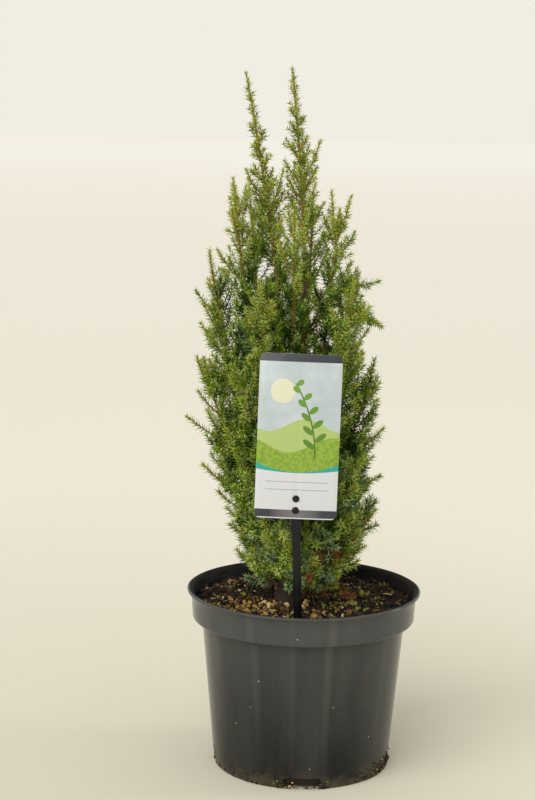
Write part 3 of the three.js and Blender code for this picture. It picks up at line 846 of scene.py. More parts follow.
class Finish:
    """A material in the making: its nodes and the surface shader that they feed."""

    def __init__(self, name, color=(0.5, 0.5, 0.5), roughness=0.5, **uniform):
        self.material = bpy.data.materials.new(name)
        self.material.use_nodes = True
        self.tree = self.material.node_tree
        self.tree.nodes.clear()
        self.shader = self.tree.nodes.new("ShaderNodeBsdfPrincipled")
        sheet = self.tree.nodes.new("ShaderNodeOutputMaterial")
        self.tree.links.new(self.shader.outputs[0], sheet.inputs["Surface"])
        self.material.diffuse_color = (*color, 1)
        self.set("Base Color", (*color, 1))
        self.set("Roughness", roughness)
        for socket, value in uniform.items():
            self.set(socket.replace("_", " ").title().replace("Ior", "IOR"), value)

    def set(self, socket, value):
        plug(value, self.shader.inputs[socket])

    def node(self, kind, settings=None, output=0, **sockets):
        """A node of a kind, with its settings set first and then its sockets, and its output as a wire."""
        node = self.tree.nodes.new(kind)
        for key, value in (settings or {}).items():
            setattr(node, key, value)
        for name, value in sockets.items():
            numbered = name[0] == "i" and name[1:].isdigit()
            plug(value, node.inputs[int(name[1:]) if numbered else name])
        return Wire(self.tree, node.outputs[output])

    def place(self, stretch=(1, 1, 1)):
        """The place on the object, with a stretch for grain that runs one way."""
        here = self.node("ShaderNodeTexCoord", output="Object")
        return self.node("ShaderNodeMapping", Vector=here, Scale=stretch)

    def noise(self, scale, detail=2.0, roughness=0.5, stretch=(1, 1, 1)):
        grain = {"Scale": scale, "Detail": detail, "Roughness": roughness}
        return self.node("ShaderNodeTexNoise", Vector=self.place(stretch), **grain)

    def along(self, axis, here=None):
        """The distance along one axis, of the place on the object or of another vector."""
        return self.node("ShaderNodeSeparateXYZ", output=axis, Vector=here or self.place())

    def blend(self, first, second, share):
        """One colour turned into another."""
        colours = {"i6": self.colour(first), "i7": self.colour(second)}
        return self.node("ShaderNodeMix", {"data_type": "RGBA"}, output=2, i0=share, **colours)

    def colour(self, value):
        return value if isinstance(value, Wire) else (*value, 1)

    def bump(self, height, depth, strength=1.0):
        self.set("Normal", self.node("ShaderNodeBump", Height=height, Distance=depth, Strength=strength))


def scaled(colour, share):
    """A darker or lighter colour of the same hue."""
    return [c * share for c in colour]


def painted_reflection_streaks(finish):
    """Painted reflections: soft pale stripes up the wall, a little wavy, that stand for reflected lights."""
    x = finish.along("X")
    wave = finish.noise(18, detail=2, stretch=(1, 1, 0.4)) * 0.06 - 0.03
    azimuth = x.math("ARCTAN2", x, finish.along("Y") * -1.0) + wave
    total = 0
    for middle, half, strength in PAINTED_REFLECTIONS:
        away = azimuth - math.radians(middle)
        total = total + (1 - away * away / math.radians(half) ** 2).held() * strength
    return total * finish.noise(14, detail=3, stretch=(1, 1, 0.5)).over(0.45, 0.5)


def pot_plastic(pot):
    """Dark moulded plastic, dusty in patches, with a few pale specks, dried dirt at the foot, painted shade
    low down and painted reflections.
    """
    finish = Finish("pot_plastic", pot.plastic, 0.4, specular_ior_level=0.28)
    cloud = finish.noise(26, detail=4, stretch=(1, 1, 0.16))
    fine = finish.noise(420, detail=2)
    dusty = cloud.over(0.56, 0.4) * 0.2 + fine.over(0.6, 0.2) * 0.03
    low = finish.along("Z")
    dirt_edge = finish.noise(150, detail=4) * 0.03
    foot = (1 - low.over(0.01, 0.02)) * finish.noise(90, detail=4).over(0.52, 0.2)
    rim_dirt = (1 - (low + dirt_edge).over(0.018, 0.01)) * 0.45
    grains = {"Vector": finish.place(), "Scale": 170.0}
    cells = finish.node("ShaderNodeTexVoronoi", {"feature": "F1"}, output="Distance", **grains)
    pick = finish.node("ShaderNodeTexVoronoi", {"feature": "F1"}, output="Color", **grains)
    chosen = finish.node("ShaderNodeSeparateColor", output=0, i0=pick).over(0.955, 0.01)
    speck = chosen * (1 - cells.over(0.09, 0.05))
    # Painted shade: the wall darkens towards the floor
    colour = finish.blend(pot.shaded, pot.plastic, low.over(0.055, 0.1))
    band_foot = pot.height - pot.band_height - 0.5 * MM
    colour = finish.blend(colour, scaled(pot.plastic, 1.5), low.over(band_foot, 0.001))
    # Painted reflections: pale stripes blended in with the dusty patches, faint near the floor and stronger
    # higher up
    painted_reflection = painted_reflection_streaks(finish) * (0.05 + low.over(0.06, 0.08) * 0.15)
    colour = finish.blend(colour, pot.dust, (dusty + painted_reflection).held())
    colour = finish.blend(colour, pot.dirt, (foot * 0.6 + rim_dirt).held())
    colour = finish.blend(colour, SPECK, speck * 0.8)
    finish.set("Base Color", colour)
    finish.set("Roughness", (0.14 + dusty * 0.4 + foot * 0.5 + speck * 0.3).held())
    finish.bump(fine * 0.2 + foot * 1.2 + speck, 0.00025, 0.5)
    return finish.material


def inner_plastic(pot):
    """The pot's inside, dull with wet compost and painted dark as the shade in the pot."""
    finish = Finish("inner_plastic", pot.inside, 0.6, specular_ior_level=0.2)
    stain = finish.noise(70, detail=5, stretch=(1, 1, 2.5))
    finish.set("Base Color", finish.blend(pot.inside, pot.shaded, stain.over(0.58, 0.2)))
    finish.set("Roughness", 0.5 + stain * 0.3)
    return finish.material


def compost_ground(compost):
    """Moist dark compost with coarse and fine crumbs."""
    finish = Finish("compost_ground", compost.ground, 0.95)
    coarse = finish.noise(160, detail=6, roughness=0.7)
    fine = finish.noise(700, detail=3)
    colour = finish.blend(compost.dark, compost.ground, coarse.over(0.48, 0.16))
    colour = finish.blend(colour, compost.brown, fine.over(0.6, 0.1) * 0.7)
    finish.set("Base Color", colour)
    finish.set("Roughness", 0.82 + coarse * 0.16)
    finish.bump(coarse + fine * 0.4, 0.002, 0.8)
    return finish.material


def old_bark(plant):
    """Thin fibrous bark that peels in strips along the limb, painted darker near the soil as shade."""
    finish = Finish("old_bark", plant.bark, 0.9)
    strips = finish.noise(360, detail=5, roughness=0.65, stretch=(1, 1, 0.12))
    flakes = finish.noise(900, detail=3, stretch=(1, 1, 0.35))
    colour = finish.blend(scaled(plant.bark, 0.45), plant.bark, strips.over(0.44, 0.14))
    colour = finish.blend(colour, plant.bark_light, flakes.over(0.58, 0.12) * 0.6)
    # Painted shade: the bark turns nearly black near the soil, under the crown
    painted_foot_shade = 1 - (finish.along("Z") + strips * 0.01).over(0.162, 0.03)
    finish.set("Base Color", finish.blend(colour, scaled(plant.bark, 0.2), painted_foot_shade * 0.85))
    finish.set("Roughness", 0.78 + flakes * 0.2)
    finish.bump(strips + flakes * 0.35, 0.0008, 0.9)
    return finish.material


def print_lines(finish, label, u, v, colour):
    """The lower field's two plain ruled lines."""
    thick, half = 0.5, 24
    across = 1 - (u * u).over(half * half, 12)
    for height in PRINT["rules"]:
        along = 1 - ((v - height) * (v - height)).over(thick * thick / 4, 0.3)
        colour = finish.blend(colour, label.rule, across.both(along) * 0.85)
    return colour


def sprig(finish, label, u, v, colour):
    """A leaning sprig of paired leaves, as a plain generic picture."""
    middle, low = SPRIG["foot"]
    stem = u - middle + (v - low) * (v - low) * SPRIG["bow"]
    shown = v.over(low - 1, 1).both(1 - v.over(SPRIG["top"], 1))
    colour = finish.blend(colour, scaled(label.leaf, 0.6), shown.both(1 - (stem * stem).over(0.35, 0.3)))
    for k in range(SPRIG["leaves"]):
        turned = 1 if k % 2 else -1
        height = SPRIG["first"] + SPRIG["step"] * k
        reach = SPRIG["leaf"] - 0.55 * k
        foot = middle - (height - low) ** 2 * SPRIG["bow"]
        angle = math.radians(90 - turned * 52)
        du, dv = u - (foot + reach * 0.55 * math.cos(angle)), v - (height + reach * 0.55 * math.sin(angle))
        along = du * math.cos(angle) + dv * math.sin(angle)
        across = dv * math.cos(angle) - du * math.sin(angle)
        inside = 1 - (along * along / (reach * reach * 0.25) + across * across / 4.6).over(1, 0.18)
        colour = finish.blend(colour, scaled(label.leaf, 0.8 + 0.05 * k), inside)
    return colour


def printed_card(label):
    """A garden picture over a teal curve and a white field, between two slate bands, with no lettering."""
    finish = Finish("printed_card", label.card, 0.3, coat_weight=0.25)
    here = finish.node("ShaderNodeUVMap", {"uv_map": "print"})
    wide, high = label.width / MM, label.height / MM
    u, v = finish.along("X", here) * wide - wide / 2, finish.along("Y", here) * high
    soft = finish.noise(60, detail=3)
    leafy = finish.noise(420, detail=3)
    colour = finish.blend(label.sky, label.card, soft.over(0.5, 0.3) * 0.6)
    du, dv = u - PRINT["disc"][0], v - PRINT["disc"][1]
    colour = finish.blend(colour, label.sun, 1 - (du * du + dv * dv).over(86, 14))
    far = v - PRINT["far_hill"] - (u * 0.11 + 1).sine() * 5
    colour = finish.blend(colour, label.far_hill, 1 - far.over(0, 0.8))
    near = v - PRINT["near_hill"] - (u * 0.09 - 0.9).sine() * 6
    hill = finish.blend(label.hill, label.leaf, leafy.over(0.52, 0.1) * 0.55)
    colour = finish.blend(colour, hill, 1 - near.over(0, 0.6))
    colour = sprig(finish, label, u, v, colour)
    bow = u * u / (wide * wide / 4)
    colour = finish.blend(colour, label.teal, 1 - (v - PRINT["teal_curve"] - bow * 6.6).over(0, 0.3))
    colour = finish.blend(colour, label.card, 1 - (v - PRINT["white_field"] - bow * 2.4).over(0, 0.3))
    colour = print_lines(finish, label, u, v, colour)
    # Painted sheen: the foot band is lighter in its middle and slate at its ends
    painted_sheen_band = finish.blend(PAINTED_SHEEN, label.slate, (u * u).over(210, 420))
    low, top = PRINT["foot_band"]
    colour = finish.blend(colour, painted_sheen_band, v.over(low, 0.3).both(1 - v.over(top, 0.3)))
    colour = finish.blend(colour, label.slate, v.over(PRINT["top_band"], 0.3))
    finish.set("Base Color", colour)
    finish.set("Roughness", 0.26 + soft * 0.12)
    return finish.material


def card_back(label):
    """The card's white back and edges."""
    finish = Finish("card_back", label.card, 0.45)
    fibre = finish.noise(240, detail=4)
    finish.set("Base Color", finish.blend(label.card, scaled(label.card, 0.9), fibre))
    finish.set("Roughness", 0.4 + fibre * 0.15)
    return finish.material


def stick_plastic(label):
    """Black moulded plastic with faint wear."""
    finish = Finish("stick_plastic", label.plastic, 0.38, specular_ior_level=0.3)
    wear = finish.noise(190, detail=4, stretch=(1, 1, 0.3))
    finish.set("Base Color", finish.blend(label.plastic, scaled(label.plastic, 2.2), wear.over(0.58, 0.2)))
    finish.set("Roughness", 0.3 + wear * 0.25)
    finish.bump(finish.noise(900), 0.0001, 0.4)
    return finish.material


def studio_floor(studio):
    """A pale matt floor that turns lighter far from the pot."""
    finish = Finish("studio_floor", studio.near_floor, 0.6, specular_ior_level=0)
    x, y = finish.along("X"), finish.along("Y")
    away = (x * x + y * y) ** 0.5
    colour = finish.blend(studio.near_floor, studio.far_floor, away.over(0.6, 1.1))
    finish.set("Base Color", finish.blend(colour, studio.last_floor, away.over(12, 20)))
    finish.set("Roughness", 0.55 + finish.noise(9, detail=3) * 0.15)
    return finish.material


def plain_tones(group, names, roughness, grain, sheen=0.3):
    """Colours dealt out over joined pieces, one for each spray or granule, with a slight even grain."""
    return [tone_finish(name, getattr(group, name), roughness, grain, sheen) for name in names]


def tone_finish(name, colour, roughness, grain, sheen):
    finish = Finish(name, colour, roughness, specular_ior_level=sheen)
    speckle = finish.noise(grain, detail=3)
    light = [min(1, c) for c in scaled(colour, 1.2)]
    finish.set("Base Color", finish.blend(scaled(colour, 0.8), light, speckle.over(0.5, 0.4)))
    finish.set("Roughness", roughness - 0.06 + speckle * 0.12)
    return finish.material


# Modelling by hand


def start_fresh():
    """Leaves edit mode and selects nothing, so that the next operator acts on its own piece alone."""
    if bpy.context.object and bpy.context.object.mode != "OBJECT":
        bpy.ops.object.mode_set(mode="OBJECT")
    bpy.ops.object.select_all(action="DESELECT")


def take(piece):
    """Makes a piece the only one selected."""
    start_fresh()
    piece.select_set(True)
    bpy.context.view_layer.objects.active = piece


def settle(piece):
    """Bakes a piece's place into its mesh, so that the object sits at the origin."""
    take(piece)
    bpy.ops.object.transform_apply(location=True, rotation=True, scale=True)


def frame_matrix(across, along, place):
    """Takes a piece from upright, with X across and Z along, to its own directions and place."""
    turn = Matrix((across, along.cross(across), along)).transposed().to_4x4()
    return Matrix.Translation(place) @ turn


def move_to(piece, matrix):
    piece.matrix_world = matrix
    settle(piece)


def apply_all(piece):
    take(piece)
    for modifier in list(piece.modifiers):
        bpy.ops.object.modifier_apply(modifier=modifier.name)


def turn_profile(name, profile, segments):
    """A round piece, raised ring by ring from a disc through an outline of (radius, height) pairs."""
    start_fresh()
    radius, height = profile[0]
    place = (0, 0, height)
    bpy.ops.mesh.primitive_circle_add(vertices=segments, radius=radius, fill_type="NGON", location=place)
    piece = bpy.context.object
    piece.name = name
    bpy.ops.object.mode_set(mode="EDIT")
    for next_radius, next_height in profile[1:]:
        bpy.ops.mesh.extrude_region_move(TRANSFORM_OT_translate={"value": (0, 0, next_height - height)})
        scale = next_radius / radius
        bpy.ops.transform.resize(value=(scale, scale, 1), center_override=(0, 0, next_height))
        radius, height = next_radius, next_height
    bpy.ops.mesh.select_all(action="SELECT")
    bpy.ops.mesh.normals_make_consistent(inside=False)
    bpy.ops.object.mode_set(mode="OBJECT")
    settle(piece)
    return piece


def press_relief(piece, pattern, grain, depth, group=""):
    """Pushes a piece's surface in and out by a procedural pattern with a grain size along each axis."""
    start_fresh()
    bpy.ops.object.empty_add(type="PLAIN_AXES")
    guide = bpy.context.object
    guide.scale = grain
    texture = bpy.data.textures.new("relief", type=pattern)
    texture.noise_scale = 1.0
    relief = piece.modifiers.new("relief", "DISPLACE")
    relief.texture, relief.texture_coords, relief.texture_coords_object = texture, "OBJECT", guide
    relief.strength, relief.mid_level, relief.vertex_group = depth, 0.5, group
    bpy.context.view_layer.update()
    apply_all(piece)
    bpy.data.objects.remove(guide)
    bpy.data.textures.remove(texture)


def soften_edges(piece, width, angle=35, segments=2):
    edge = piece.modifiers.new("edge", "BEVEL")
    edge.width, edge.segments = width, segments
    edge.limit_method, edge.angle_limit = "ANGLE", math.radians(angle)
    apply_all(piece)


def smooth(piece, angle=40):
    take(piece)
    bpy.ops.object.shade_smooth_by_angle(angle=math.radians(angle))


def cut_away(piece, cutters):
    """Cuts pieces out of another and removes them."""
    for cutter in cutters:
        cut = piece.modifiers.new("cut", "BOOLEAN")
        cut.object, cut.operation, cut.solver = cutter, "DIFFERENCE", "EXACT"
    apply_all(piece)
    for cutter in cutters:
        bpy.data.objects.remove(cutter)


def box_at(name, size, place, edge=0.0):
    """A box of a size about a place, with its edges rounded in edit mode."""
    start_fresh()
    bpy.ops.mesh.primitive_cube_add(size=1, location=place, scale=size)
    piece = bpy.context.object
    piece.name = name
    settle(piece)
    if edge:
        bpy.ops.object.mode_set(mode="EDIT")
        bpy.ops.mesh.select_all(action="SELECT")
        bpy.ops.mesh.bevel(offset=edge, segments=3, affect="EDGES")
        bpy.ops.object.mode_set(mode="OBJECT")
    return piece


def join(pieces, name):
    take(pieces[0])
    for piece in pieces:
        piece.select_set(True)
    bpy.ops.object.join()
    bpy.context.object.name = name
    return bpy.context.object


def dress(piece, nodes, materials=()):
    """Gives a finished piece its materials, hangs it under its body's empty and hides the CAD nodes that it
    stands for.
    """
    if materials:
        piece.data.materials.clear()
        for material in materials:
            piece.data.materials.append(material)
    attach(piece, BODY)
    if nodes:
        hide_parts(*nodes)


class Piece:
    """What all the operators have in common"""

    bl_options = {"REGISTER", "UNDO"}


# The pot and its compost


def pot_outline(pot):
    """The pot's wall from its underside, up the outside, over the rolled rim and down the inside."""
    rim, high, base, body, wall = pot.rim_radius, pot.height, pot.base_radius, pot.body_radius, pot.wall
    foot, low, side = pot.foot_radius, pot.foot_height, pot.band_radius
    band = high - pot.band_height
    top = band - pot.shoulder_height
    lip = [
        (rim - 3.5 * MM, high - 3.8 * MM),
        (rim - 2.9 * MM, high - 2.9 * MM),
        (rim - 1.6 * MM, high - 2.45 * MM),
        (rim - 0.6 * MM, high - 2.2 * MM),
        (rim - 0.1 * MM, high - 1.7 * MM),
        (rim, high - 1.1 * MM),
        (rim - 0.2 * MM, high - 0.45 * MM),
        (rim - 0.7 * MM, high - 0.1 * MM),
        (rim - 1.4 * MM, high),
        (rim - 2.4 * MM, high - 0.2 * MM),
        (rim - 3.6 * MM, high - 0.8 * MM),
    ]
    return [
        (base - 6 * MM, 0.8 * MM),
        (base - 4.5 * MM, 0),
        (base - 1 * MM, 0),
        (base - 0.2 * MM, 0.4 * MM),
        (base + 0.2 * MM, 1.2 * MM),
        (mix(base, foot, 0.65), 7 * MM),
        (foot, low),
        (mix(foot, body, 0.33), mix(low, top, 0.33)),
        (mix(foot, body, 0.66), mix(low, top, 0.66)),
        (body - 0.2 * MM, top - 2.5 * MM),
        (body + 0.2 * MM, top - 0.4 * MM),
        (body + 1.1 * MM, top + 0.4 * MM),
        (side - 1.6 * MM, band - 0.9 * MM),
        (side - 0.5 * MM, band - 0.3 * MM),
        (side, band + 0.6 * MM),
        (side + 0.1 * MM, band + 3 * MM),
        (side + 0.7 * MM, high - 11 * MM),
        *lip,
        (rim - 3.7 * MM - wall, high - 3.2 * MM),
        (side - wall, band + 1 * MM),
        (body - wall, top + 1 * MM),
        (foot - wall, low),
        (base - wall, pot.floor),
        (base - 6 * MM, pot.floor),
    ]


def notch_cutters(pot):
    """Four rounded blocks that cut the drain notches in the foot."""
    cutters = []
    size = (pot.notch_width, pot.notch_depth, 2 * pot.notch_height)
    for quarter in range(4):
        block = box_at("notch", size, (0, -pot.base_radius, 0), 3 * MM)
        block.rotation_euler.z = quarter * math.pi / 2
        settle(block)
        cutters.append(block)
    return cutters


def roll_grit(name, places, sizes, slots, materials, dice, squash=(1, 0.8, 0.65)):
    """Small angular grains, each a round of twenty faces pulled out of shape, joined to one mesh."""
    seed = bmesh.new()
    bmesh.ops.create_icosphere(seed, subdivisions=1, radius=0.5)
    grain = np.array([v.co for v in seed.verts])
    faces = np.array([[v.index for v in f.verts] for f in seed.faces])
    seed.free()
    count = len(places)
    shape = grain[None] * dice.uniform(0.72, 1.2, (count, len(grain), 1)) * np.array(squash)
    axes = dice.normal(size=(count, 3, 3))
    first = axes[:, 0] / np.linalg.norm(axes[:, 0], axis=1, keepdims=True)
    second = np.cross(first, axes[:, 1])
    second /= np.linalg.norm(second, axis=1, keepdims=True)
    turned = np.stack((first, second, np.cross(first, second)), axis=1)
    body = np.einsum("nvi,nij->nvj", shape * sizes[:, None, None], turned) + places[:, None]
    corners = faces[None] + (np.arange(count) * len(grain))[:, None, None]
    body, corners = body.reshape(-1, 3), corners.reshape(-1, 3)
    return mesh_piece(name, body, corners, np.repeat(slots, len(faces)), materials)


class JUNIPER_OT_pot(Piece, bpy.types.Operator):
    """Models the dark nursery pot with its rolled rim, band and drain notches"""

    bl_idname = "juniper.pot"
    bl_label = "Pot"

    def execute(self, context):
        pot = context.scene.juniper_pot
        shell = turn_profile("nursery_pot", pot_outline(pot), 128)
        press_relief(shell, "CLOUDS", (0.05, 0.05, 0.4), 0.5 * MM)
        cut_away(shell, notch_cutters(pot))
        soften_edges(shell, 0.35 * MM, angle=42)
        smooth(shell, 35)
        dress(shell, ["pot"], [pot_plastic(pot), inner_plastic(pot)])
        # The inside of the wall and the rim's top take the dark inner plastic: painted shade over the
        # compost's stain
        for face in shell.data.polygons:
            place, normal = face.center, face.normal
            inward = normal.x * place.x + normal.y * place.y < -0.02
            lip = place.z > pot.height - 1 * MM and place.to_2d().length < pot.rim_radius - 1.4 * MM
            face.material_index = int((inward or lip) and place.z > 5 * MM)
        self.add_dirt(context)
        return {"FINISHED"}

    def add_dirt(self, context):
        """Crumbs of dried compost on the foot, most of them on the right."""
        compost, pot = context.scene.juniper_compost, context.scene.juniper_pot
        dice = np.random.default_rng(31)
        count = 560
        spread = dice.uniform(size=count)
        beside_notch = -90 + np.where(dice.uniform(size=count) < 0.5, -13, 13) + dice.normal(0, 3, count)
        angle = np.where(spread < 0.45, dice.normal(-26, 12, count), dice.uniform(180, 360, count))
        angle = np.radians(np.where(spread > 0.8, beside_notch, angle))
        height = np.abs(dice.normal(0, 1, count)) * np.where(spread < 0.45, 6, 3) + 0.5
        reach = pot.base_radius / MM + np.minimum(height, 12) * 0.14 + dice.uniform(-0.3, 0.5, count)
        caught = spread > 0.95
        angle = np.where(caught, np.radians(dice.uniform(-99, -81, count)), angle)
        reach = np.where(caught, pot.base_radius / MM - dice.uniform(1, 6, count), reach)
        height = np.where(caught, dice.uniform(0.5, 1.4, count), height)
        places = np.stack((reach * np.cos(angle), reach * np.sin(angle), height), axis=1)
        tones = plain_tones(compost, ("dark", "brown", "straw", "moss"), 0.9, 900)
        in_notch = dice.choice(4, count, p=(0.2, 0.3, 0.4, 0.1))
        on_wall = dice.choice(4, count, p=(0.5, 0.38, 0.05, 0.07))
        picks = np.where(caught, in_notch, on_wall)
        grit = roll_grit("pot_grit", places, dice.lognormal(0.1, 0.35, count), picks, tones, dice)
        dress(grit, [])


def soil_relief(x, y):
    """Gentle heaps of compost, flat at the trunk's foot."""
    from_foot = np.hypot(x - TRUNK["foot"][0], y - TRUNK["foot"][1])
    heaps = 1.3 * np.sin(x / 9 + 1) * np.cos(y / 8) + 0.7 * np.sin(x / 4.1 + y / 5.3)
    return heaps * np.clip((from_foot - 16) / 14, 0, 1)


def patch(name, x, y):
    """How far each place lies in a patch of the compost: 1 in its middle and 0 far from it."""
    middle_x, middle_y, wide, deep = PATCHES[name]
    return np.exp(-(((x - middle_x) / wide) ** 2 + ((y - middle_y) / deep) ** 2))


class JUNIPER_OT_compost(Piece, bpy.types.Operator):
    """Fills the pot with compost and strews granules of bark, grit and moss on it"""

    bl_idname = "juniper.compost"
    bl_label = "Compost"

    def execute(self, context):
        compost = context.scene.juniper_compost
        self.fill_pot(context)
        dice = np.random.default_rng(17)
        tones = plain_tones(compost, ("dark", "brown", "chestnut", "ochre", "straw", "moss"), 0.88, 700)
        self.strew(compost, dice, tones)
        self.lay_straws(dice, tones)
        return {"FINISHED"}

    def fill_pot(self, context):
        pot = context.scene.juniper_pot
        wall = pot.wall + 0.6 * MM
        band = pot.height - pot.band_height
        top = SOIL_TOP * MM
        outer = pot.band_radius + 0.5 * MM - wall
        outline = [
            (pot.base_radius - wall - 0.6 * MM, pot.floor + 0.3 * MM),
            (pot.foot_radius - wall, pot.foot_height),
            (pot.body_radius - wall, band - pot.shoulder_height + 1.2 * MM),
            (pot.band_radius - wall, band + 1.6 * MM),
            (outer, top - 0.6 * MM),
        ]
        rings = 26
        outline += [(outer * (1 - k / rings) ** 0.9 + 0.4 * MM, top) for k in range(1, rings + 1)]
        bed = turn_profile("compost_bed", outline, 120)
        group = bed.vertex_groups.new(name="top")
        group.add([v.index for v in bed.data.vertices if v.co.z > top - 0.1 * MM], 1.0, "REPLACE")
        press_relief(bed, "CLOUDS", (0.006, 0.006, 0.006), 3 * MM, "top")
        press_relief(bed, "CLOUDS", (0.0022, 0.0022, 0.0022), 1.2 * MM, "top")
        smooth(bed, 60)
        dress(bed, ["soil"], [compost_ground(context.scene.juniper_compost)])

    def scatter(self, dice, count, inner=9, outer=86.8):
        """Places on the compost, clear of the trunk's foot."""
        angle = dice.uniform(0, 2 * math.pi, count)
        reach = np.sqrt(dice.uniform(0, 1, count)) * outer
        x, y = reach * np.cos(angle), reach * np.sin(angle)
        clear = np.hypot(x - TRUNK["foot"][0], y - TRUNK["foot"][1]) > inner
        return x[clear], y[clear]

    def strew(self, compost, dice, tones):
        x, y = self.scatter(dice, compost.granules)
        count = len(x)
        size = compost.granule / MM * np.clip(dice.lognormal(-0.2, 0.5, count), 0.3, 2.2)
        ochre, moss = patch("ochre", x, y), patch("moss", x, y)
        black = patch("black", x, y) + patch("black_edge", x, y)
        shares = (
            0.6 + 1.4 * black,
            0.36,
            0.1 + 0.3 * ochre,
            0.03 + 0.7 * ochre,
            0.03 + 0.1 * ochre,
            0.02 + 0.75 * moss,
        )
        weights = np.stack([np.broadcast_to(share, count) for share in shares], axis=1)
        picks = (weights.cumsum(1) / weights.sum(1, keepdims=True) > dice.uniform(size=(count, 1))).argmax(1)
        height = SOIL_TOP + soil_relief(x, y) + size * 0.22 + dice.uniform(-0.6, 1.2, count)
        places = np.stack((x, y, height), axis=1)
        granules = roll_grit("compost_granules", places, size, picks, tones, dice)
        dress(granules, [])

    def lay_straws(self, dice, tones):
        """Thin straws, root hairs and dropped needles among the granules."""
        x, y = self.scatter(dice, 420, inner=12, outer=82)
        count = len(x)
        angle, tilt = dice.uniform(0, 2 * math.pi, count), dice.uniform(-0.2, 0.35, count)
        along = np.stack((np.cos(angle) * np.cos(tilt), np.sin(angle) * np.cos(tilt), np.sin(tilt)), axis=1)
        reach = dice.uniform(3.5, 9, count)[:, None]
        start = np.stack((x, y, SOIL_TOP + soil_relief(x, y) + 2.0), axis=1)
        bend = dice.normal(0, 0.12, (count, 3)) * reach
        curves = np.stack((start, start + along * reach * 0.5 + bend, start + along * reach), axis=1)
        places, corners, faces = tube_arrays(curves, np.full(count, 0.42), np.full(count, 0.28), 4, 3)
        picks = dice.choice((1, 2, 3, 4), count, p=(0.3, 0.34, 0.2, 0.16))
        straws = mesh_piece("compost_straws", places, corners, np.repeat(picks, faces), tones)
        dress(straws, [])


# Trunk and boughs


def limb_mesh(name, curve, radius_at, cuts, sides):
    """A limb along a Bezier curve, round and tapered, made from a curve object and turned into a mesh."""
    start_fresh()
    bpy.ops.curve.primitive_bezier_curve_add(location=(0, 0, 0))
    limb = bpy.context.object
    limb.name = name
    points = curve.points * MM
    if len(points) == 3:
        a, b, c = points
        points = np.array((a, a + (b - a) * 2 / 3, c + (b - c) * 2 / 3, c))
    first, last = limb.data.splines[0].bezier_points
    for knot, place, handle in ((first, points[0], points[1]), (last, points[3], points[2])):
        knot.handle_left_type = knot.handle_right_type = "FREE"
        knot.co = place
        knot.handle_right = handle if knot is first else place * 2 - handle
        knot.handle_left = handle if knot is last else place * 2 - handle
    bpy.ops.object.mode_set(mode="EDIT")
    bpy.ops.curve.select_all(action="SELECT")
    bpy.ops.curve.subdivide(number_cuts=cuts)
    bpy.ops.object.mode_set(mode="OBJECT")
    knots = limb.data.splines[0].bezier_points
    for k, knot in enumerate(knots):
        knot.radius = radius_at(k / (len(knots) - 1))
    limb.data.dimensions, limb.data.bevel_depth, limb.data.bevel_resolution = "3D", MM, sides // 4
    limb.data.resolution_u, limb.data.use_fill_caps = 6, True
    bpy.ops.object.convert(target="MESH")
    limb = bpy.context.object
    bpy.ops.object.mode_set(mode="EDIT")
    bpy.ops.mesh.select_all(action="SELECT")
    bpy.ops.mesh.remove_doubles(threshold=0.00002)
    bpy.ops.mesh.normals_make_consistent(inside=False)
    bpy.ops.object.mode_set(mode="OBJECT")
    return limb


class JUNIPER_OT_limbs(Piece, bpy.types.Operator):
    """Raises the trunk and its boughs, with furrowed bark"""

    bl_idname = "juniper.limbs"
    bl_label = "Trunk and boughs"

    def execute(self, context):
        plant = context.scene.juniper_plant
        bark = old_bark(plant)
        trunk = limb_mesh("trunk_bark", trunk_curve, lambda t: float(trunk_radius(t)), 26, 24)
        press_relief(trunk, "CLOUDS", (0.0026, 0.0026, 0.018), plant.bark_relief)
        press_relief(trunk, "CLOUDS", (0.0011, 0.0011, 0.006), plant.bark_relief * 0.45)
        smooth(trunk, 50)
        dress(trunk, ["trunk"], [bark])
        grown = Plant()
        boughs = []
        for name, (curve, thick) in grown.boughs.items():
            boughs.append(limb_mesh(name, curve, lambda t, thick=thick: mix(thick, STEM_RADIUS, t), 8, 12))
        joined = join(boughs, "bough_bark")
        press_relief(joined, "CLOUDS", (0.0018, 0.0018, 0.006), plant.bark_relief * 0.5)
        smooth(joined, 50)
        dress(joined, list(grown.boughs), [bark])
        return {"FINISHED"}


# Foliage

# Radius at the root and at the tip, sides and steps of a stem, a twig and a side shoot
WOOD = ((1.2, 0.6, 6, 9), (0.75, 0.4, 5, 5), (0.45, 0.3, 3, 2))
MOST_NEEDLES = 48000  # in one joined piece


